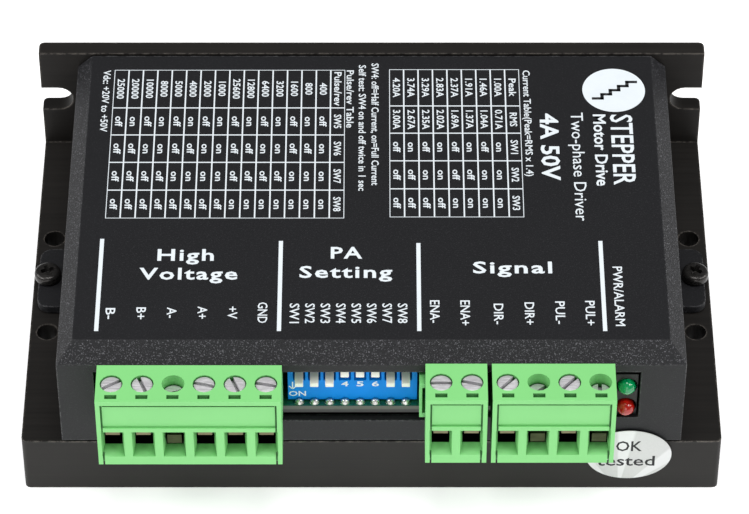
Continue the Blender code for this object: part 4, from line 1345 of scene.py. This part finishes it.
@dataclass
class Terminal:
    """One pluggable terminal: its housing, the cages and screws in it, and its board header."""

    name: str
    ways: int
    slot_angles: tuple[float, ...]
    head: float = 1.8 * MM
    head_height: float = 1.6 * MM
    shank: float = 1.25 * MM
    driver_slot: float = 0.66 * MM
    slot_depth: float = 1.0 * MM
    pin: float = 1.04 * MM
    lip: float = 1.0 * MM
    end_plate: float = 1.12 * MM
    groove: float = 0.62 * MM
    groove_back: float = 0.7 * MM
    cage_half: float = 1.73 * MM
    cage_front: float = 2.08 * MM
    cage_back: float = 5.73 * MM
    cage_floor: float = 1.22 * MM
    cage_roof: float = 8.7 * MM
    cage_sheet: float = 0.2 * MM
    pin_below_top: float = 4.1 * MM
    pin_front: float = 2.58 * MM
    pin_back: float = 3.4 * MM

    @property
    def plug(self) -> str:
        """Name of the plug's node and body."""
        return f"{self.name}_plug"

    def way_places(self) -> list[float]:
        """Returns the X of each way."""
        return [middle(f"{self.name}_screw_{way}").x for way in range(1, self.ways + 1)]

    def housing(self, finishes: Finishes) -> None:
        """The plug's housing, with a line under its top lip and eased edges.

        Args:
            finishes: the module's finishes.
        """
        body = from_cad(self.plug, f"{self.plug}_housing")
        low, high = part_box(self.plug)
        lip = high.z - self.lip
        cut(body, block(
            "lip_groove", (low.x + self.end_plate, low.y - 1.0 * MM, lip - self.groove),
            (high.x - self.end_plate, low.y + self.groove_back, lip),
        ))
        soften(body, 0.07 * MM, 2)
        finish_piece(body, finishes.plug, self.plug, (self.plug,))
        log.info("%s: %d faces", body.name, len(body.data.polygons))

    def cages(self, finishes: Finishes) -> None:
        """A thin folded cage in each wire entry, open to the front and above, near-black as painted shade inside the
        entry.

        Args:
            finishes: the module's finishes.
        """
        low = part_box(self.plug)[0]
        front, back = low.y + self.cage_front, low.y + self.cage_back
        floor, roof = low.z + self.cage_floor, low.z + self.cage_roof
        made = []
        for x in self.way_places():
            cage = block("cage", (x - self.cage_half, front, floor), (x + self.cage_half, back, roof))
            for polygon in cage.data.polygons:
                polygon.select = polygon.normal.y < -0.5 or polygon.normal.z > 0.5
            for part in (*cage.data.edges, *cage.data.vertices):
                part.select = False
            bpy.ops.object.mode_set(mode="EDIT")
            bpy.ops.mesh.select_mode(type="FACE")
            bpy.ops.mesh.delete(type="FACE")
            bpy.ops.object.mode_set(mode="OBJECT")
            apply_modifier(cage, "SOLIDIFY", thickness=self.cage_sheet, offset=-1.0)
            made.append(cage)
        cages = join(made, f"{self.name}_cages")
        finish_piece(cages, finishes.cage, self.plug)

    def screw(self, depth: float) -> bpy.types.Object:
        """A slotted cheese-head screw with its top at the origin.

        Args:
            depth: from the top of the head to the tip.

        Returns:
            The screw, to be copied.
        """
        low = -self.head_height
        rings = [(self.shank - 0.15 * MM, -depth), (self.shank, -depth + 0.15 * MM)]
        turns = int((depth - self.head_height - 0.6 * MM) / (0.5 * MM))
        for turn in range(turns):
            z = -depth + 0.3 * MM + turn * 0.5 * MM
            rings += [(self.shank, z), (self.shank - 0.16 * MM, z + 0.25 * MM)]
        rings += [(self.shank - 0.16 * MM, low), (self.head - 0.06 * MM, low), (self.head, low + 0.06 * MM)]
        rings += rounding(self.head - 0.2 * MM, -0.24 * MM, 0.2 * MM, 0, 75, 5)
        rings += [(self.head * 0.5, -0.01 * MM), (self.head * 0.2, 0.0)]
        made = turned("terminal_screw", rings)
        half = self.driver_slot / 2
        tool = block("driver", (-3 * MM, -half, -self.slot_depth), (3 * MM, half, 1 * MM))
        cut(made, tool)
        return soften(made, 0.045 * MM, 2, 40.0)

    def screws(self, finishes: Finishes) -> None:
        """Copies the screw to every way, at the height and angle that it was left at.

        Args:
            finishes: the module's finishes.
        """
        low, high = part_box(f"{self.name}_screw_1")
        master = self.screw(high.z - low.z)
        for way, angle in enumerate(self.slot_angles, start=1):
            node = f"{self.name}_screw_{way}"
            centre, top = middle(node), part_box(node)[1].z
            place = Matrix.Translation((centre.x, centre.y, top)) @ Matrix.Rotation(math.radians(angle), 4, "Z")
            piece = smooth(copy_at(master, f"{node}_slotted", place))
            finish_piece(piece, finishes.zinc, node, (node,))
        bpy.data.objects.remove(master, do_unlink=True)
        log.info("%s screws: %d", self.name, self.ways)

    def clamps(self, finishes: Finishes) -> None:
        """The clamp plates with eased edges; where the screw sits low, the plate gets a darker copy of the brass as
        painted shade of the wire entry.

        Args:
            finishes: the module's finishes.
        """
        for way in range(1, self.ways + 1):
            node = f"{self.name}_clamp_{way}"
            plate = soften(from_cad(node, f"{node}_plate"), 0.06 * MM, 2)
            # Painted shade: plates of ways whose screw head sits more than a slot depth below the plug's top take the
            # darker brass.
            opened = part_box(f"{self.name}_screw_{way}")[1].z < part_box(self.plug)[1].z - self.slot_depth
            metal = finishes.tarnished if opened else finishes.nickel
            finish_piece(plate, metal, node, (node,))

    def header(self, finishes: Finishes) -> None:
        """The board header with eased edges, and tinned pins over its moulded ones.

        Args:
            finishes: the module's finishes.
        """
        node = f"{self.name}_header"
        body = soften(from_cad(node, f"{node}_housing"), 0.08 * MM, 2)
        finish_piece(body, finishes.header, Body.ROOT.value, (node,))
        low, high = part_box(node)
        middle_z = high.z - self.pin_below_top
        half = self.pin / 2
        pins = []
        for x in self.way_places():
            start, end = low.y + self.pin_front, high.y - self.pin_back
            pin = block("pin", (x - half, start, middle_z - half), (x + half, end, middle_z + half))
            for vertex in pin.data.vertices:
                vertex.select = vertex.co.y < start + half
            for part in (*pin.data.edges, *pin.data.polygons):
                part.select = all(pin.data.vertices[index].select for index in part.vertices)
            bpy.ops.object.mode_set(mode="EDIT")
            bpy.ops.mesh.select_mode(type="FACE")
            bpy.ops.mesh.extrude_region_move(TRANSFORM_OT_translate={"value": (0.0, -0.02 * MM, 0.0)})
            bpy.ops.transform.resize(value=(0.94, 1.0, 0.94), center_override=(x, start, middle_z))
            bpy.ops.object.mode_set(mode="OBJECT")
            pins.append(soften(pin, 0.12 * MM, 2))
        finish_piece(join(pins, f"{self.name}_pins"), finishes.copper, Body.ROOT.value)

    def dress(self, finishes: Finishes) -> None:
        """Builds the whole terminal.

        Args:
            finishes: the module's finishes.
        """
        self.housing(finishes)
        self.cages(finishes)
        self.screws(finishes)
        self.clamps(finishes)
        self.header(finishes)


# ---------------------------------------------------------------------------------------------
# Switch, lamps and board
# ---------------------------------------------------------------------------------------------


@dataclass
class PianoSwitch:
    """The eight-way switch: body, levers, its print and the solder joints in front of it."""

    ways: int = 8
    numeral_cap: float = 1.12 * MM
    numeral_height: float = 24.0 * MM
    solder_width: float = 0.8 * MM

    def lever_places(self) -> list[float]:
        """Returns the X of each lever."""
        return [middle(f"switch_lever_{way}").x for way in range(1, self.ways + 1)]

    def dress(self, letters: Lettering, finishes: Finishes) -> None:
        """Builds the switch.

        Args:
            letters: the lettering set.
            finishes: the module's finishes.
        """
        body = soften(from_cad("switch_body", "switch_housing"), 0.1 * MM, 2)
        finish_piece(body, finishes.switch, Body.ROOT.value, ("switch_body",))
        for way in range(1, self.ways + 1):
            node = f"switch_lever_{way}"
            lever = soften(from_cad(node, f"{node}_key"), 0.12 * MM, 3)
            finish_piece(lever, finishes.lever, node, (node,))
        self.print(letters, finishes)
        self.solder(finishes)
        log.info("piano switch: %d levers", self.ways)

    def print(self, letters: Lettering, finishes: Finishes) -> None:
        """Numerals under the levers, and ON with an arrow pointing down.

        Args:
            letters: the lettering set.
            finishes: the module's finishes.
        """
        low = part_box("switch_body")[0]
        face = low.y - INK_THICKNESS / 3
        pieces = [
            letters.set(str(way), (x, face, self.numeral_height), self.numeral_cap, Reading.STANDING, 1.2 * MM, 0.018)
            for way, x in enumerate(self.lever_places(), start=1)
        ]
        left = low.x
        on_place = (left + 1.6 * MM, face, 21.62 * MM)
        pieces.append(letters.set("ON", on_place, 1.15 * MM, Reading.STANDING, 2.85 * MM, 0.012))
        x = left + 0.82 * MM
        half = INK_THICKNESS / 2
        shaft = block("shaft", (x - 0.11 * MM, face - half, 22.9 * MM), (x + 0.11 * MM, face + half, 24.5 * MM))
        pieces.append(shaft)
        for side in (-1, 1):
            barb = block("barb", (-0.1 * MM, -half, 0.0), (0.1 * MM, half, 0.95 * MM))
            barb.location = (x, face, 22.75 * MM)
            barb.rotation_euler = (0.0, side * math.radians(40), 0.0)
            pieces.append(settle(barb))
        finish_piece(join(pieces, "switch_print"), finishes.white_ink, Body.ROOT.value)

    def solder(self, finishes: Finishes) -> None:
        """A rounded solder joint on the board in front of each way.

        Args:
            finishes: the module's finishes.
        """
        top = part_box("circuit_board")[1].z
        wide = self.solder_width
        rings = [(wide * 1.06, 0.0), (wide, 0.05 * MM)] + rounding(0.0, 0.05 * MM, wide, 12, 80, 7)
        bead = turned("solder_bead", rings, 24)
        bead.scale = (1.0, 0.82, 0.95)
        settle(bead)
        beads = [
            copy_at(bead, "bead", Matrix.Translation((x, behind_front(1.75), top))) for x in self.lever_places()
        ]
        bpy.data.objects.remove(bead, do_unlink=True)
        finish_piece(smooth(join(beads, "solder_joints"), 50.0), finishes.solder, Body.ROOT.value)


@dataclass
class LampPair:
    """The two status lamps, their metal parts and the dark holder."""

    stem: float = 0.24 * MM
    lead_spacing: float = 1.27 * MM
    cup_rings: tuple = ((0.5, 4.4), (0.5, 2.6), (0.75, 2.3), (0.72, 2.0), (0.4, 2.3))
    settle_down: dict[str, float] = field(default_factory=lambda: {"green": 0.4 * MM, "red": 0.75 * MM})

    def lamp(self, colour: str, lens: bpy.types.Material, finishes: Finishes) -> None:
        """One lamp: a domed resin lens, the cup and post inside it, and its leads.

        Args:
            colour: the lamp's name in the frame.
            lens: the lens material.
            finishes: the module's finishes.
        """
        node = f"lamp_{colour}"
        low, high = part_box(node)
        radius = (high.x - low.x) / 2
        x, z = (low.x + high.x) / 2, high.z - radius - self.settle_down[colour]
        dome_back = radius + 4.8 * MM
        rings = [(radius - 0.1 * MM, -dome_back), (radius, -dome_back + 0.1 * MM)]
        rings += rounding(0.0, -radius, radius, 0, 82, 12)
        facing = Matrix.Translation((x, low.y, z)) @ Matrix.Rotation(math.radians(90), 4, "X")
        made = turned(f"{node}_lens", rings)
        made.data.transform(facing)
        smooth(made, 50.0)
        finish_piece(made, lens, Body.ROOT.value, (node,))
        cup = turned("cup", [(wide * MM, -deep * MM) for wide, deep in self.cup_rings], 24)
        cup.data.transform(facing @ Matrix.Translation((self.lead_spacing * 0.15, 0.0, 0.0)))
        parts = [cup]
        for side in (-0.5, 0.5):
            place = x + side * self.lead_spacing
            parts.append(block("lead", (place - self.stem, low.y + 3.4 * MM, z - self.stem),
                               (place + self.stem, high.y, z + self.stem)))
            parts.append(block("drop", (place - self.stem, high.y - 2 * self.stem, low.z),
                               (place + self.stem, high.y, z + self.stem)))
        for part in parts[1:]:
            apply_modifier(part, "BEVEL", width=0.06 * MM, segments=2)
        finish_piece(join(parts, f"{node}_metal"), finishes.copper, Body.ROOT.value)

    def dress(self, finishes: Finishes) -> None:
        """Builds both lamps and the holder.

        Args:
            finishes: the module's finishes.
        """
        holder = from_cad("lamp_holder", "lamp_housing")
        holder.data.transform(Matrix.Translation((0.0, 0.0, -self.settle_down["green"])))
        soften(holder, 0.06 * MM, 2)
        finish_piece(holder, finishes.holder, Body.ROOT.value, ("lamp_holder",))
        self.lamp("green", finishes.green_lens, finishes)
        self.lamp("red", finishes.red_lens, finishes)
        log.info("lamps: 2")


def dress_inside(finishes: Finishes) -> None:
    """Gives the CAD nodes that stay as they are their finishes.

    Args:
        finishes: the module's finishes.
    """
    looks = {
        "circuit_board": finishes.board, "thermal_pad": finishes.pad, "bridge_chip": finishes.chip,
        "controller_chip": finishes.chip, "bulk_capacitor": finishes.sleeve, "board_screw": finishes.zinc,
        "board_spacer": finishes.nickel,
    }
    for name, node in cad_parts.items():
        for start, material in looks.items():
            if name.startswith(start):
                node.data.materials.clear()
                node.data.materials.append(material)
    log.info("inner pieces: %d finishes", len(looks))


# ---------------------------------------------------------------------------------------------
# Studio
# ---------------------------------------------------------------------------------------------


@dataclass
class Studio:
    """A pale floor, soft light and the camera."""

    camera_place: Point = (0.000517, -0.486954, 0.517045)
    camera_tilt: float = 44.273
    lens: float = 192.77
    lights: tuple = (
        ("key_left", (-0.75, -0.4, 0.9), 0.5, 4.4),
        ("key_right", (0.75, -0.4, 0.9), 0.5, 3.6),
        ("top_light", (0.05, -0.1, 1.15), 0.45, 4.0),
        ("front_fill", (0.0, -1.05, 0.32), 0.6, 1.5),
        ("left_light", (-0.9, 0.1, 0.5), 0.5, 3.0),
        ("right_light", (0.9, 0.0, 0.5), 0.5, 3.0),
    )

    def floor(self) -> None:
        """The white floor."""
        bpy.ops.mesh.primitive_plane_add(size=8.0)
        floor = settle(bpy.context.active_object)
        floor.name = "studio_floor"
        made, sheet, shader = new_material("studio_white", Roughness=0.85, Emission_Strength=0.45)
        cloud = effect(sheet, "dust_and_marks", Size=3.0, Specks=0.0)
        tone = sheet.blend(cloud.outputs[0], (0.92, 0.92, 0.92), (0.9, 0.9, 0.9))
        sheet.wire(shader, Base_Color=tone)
        shader.inputs["Emission Color"].default_value = (1.0, 1.0, 1.0, 1.0)
        floor.data.materials.append(made)

    def light(self) -> None:
        """The area lights and the even sky."""
        for name, place, size, power in self.lights:
            bpy.ops.object.light_add(type="AREA", location=place)
            lamp = bpy.context.active_object
            lamp.name = name
            lamp.data.shape = "DISK"
            lamp.data.size = size
            lamp.data.energy = power
            lamp.rotation_euler = (-Vector(place)).to_track_quat("-Z", "Y").to_euler()
        world = bpy.data.worlds.new("studio_sky")
        world.use_nodes = True
        world.node_tree.nodes["Background"].inputs["Color"].default_value = (1.0, 1.0, 1.0, 1.0)
        world.node_tree.nodes["Background"].inputs["Strength"].default_value = 0.2
        bpy.context.scene.world = world

    def camera(self) -> None:
        """The camera, above the connector side."""
        bpy.ops.object.camera_add(
            location=self.camera_place, rotation=(math.radians(self.camera_tilt), 0.0, 0.0)
        )
        camera = bpy.context.active_object
        camera.name = "studio_camera"
        camera.data.sensor_width = 36.0
        camera.data.lens = self.lens
        camera.data.clip_end = 50.0
        bpy.context.scene.camera = camera

    def set_up(self) -> None:
        """Sets the whole studio up."""
        self.floor()
        self.light()
        self.camera()
        bpy.context.scene.view_settings.view_transform = "Standard"
        log.info("studio: %d lights", len(self.lights))


def main() -> None:
    """Builds the module's looks and the studio."""
    logging.basicConfig(level=logging.INFO, format="%(name)s: %(message)s")
    finishes = Finishes()
    letters = Lettering()
    casing = Casing()
    casing.cover(finishes)
    casing.heatsink(finishes)
    casing.screws(finishes)
    casing.label(letters, finishes)
    TopPrint(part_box("cover")[1].z).dress(letters, finishes)
    for terminal in (
        Terminal("power", 6, (32, -68, 20, -14, -68, -12)),
        Terminal("enable", 2, (0, -15)),
        Terminal("pulse", 4, (48, 40, 48, 90)),
    ):
        terminal.dress(finishes)
    PianoSwitch().dress(letters, finishes)
    LampPair().dress(finishes)
    dress_inside(finishes)
    letters.clear()
    Studio().set_up()


if __name__ == "__main__":
    main()
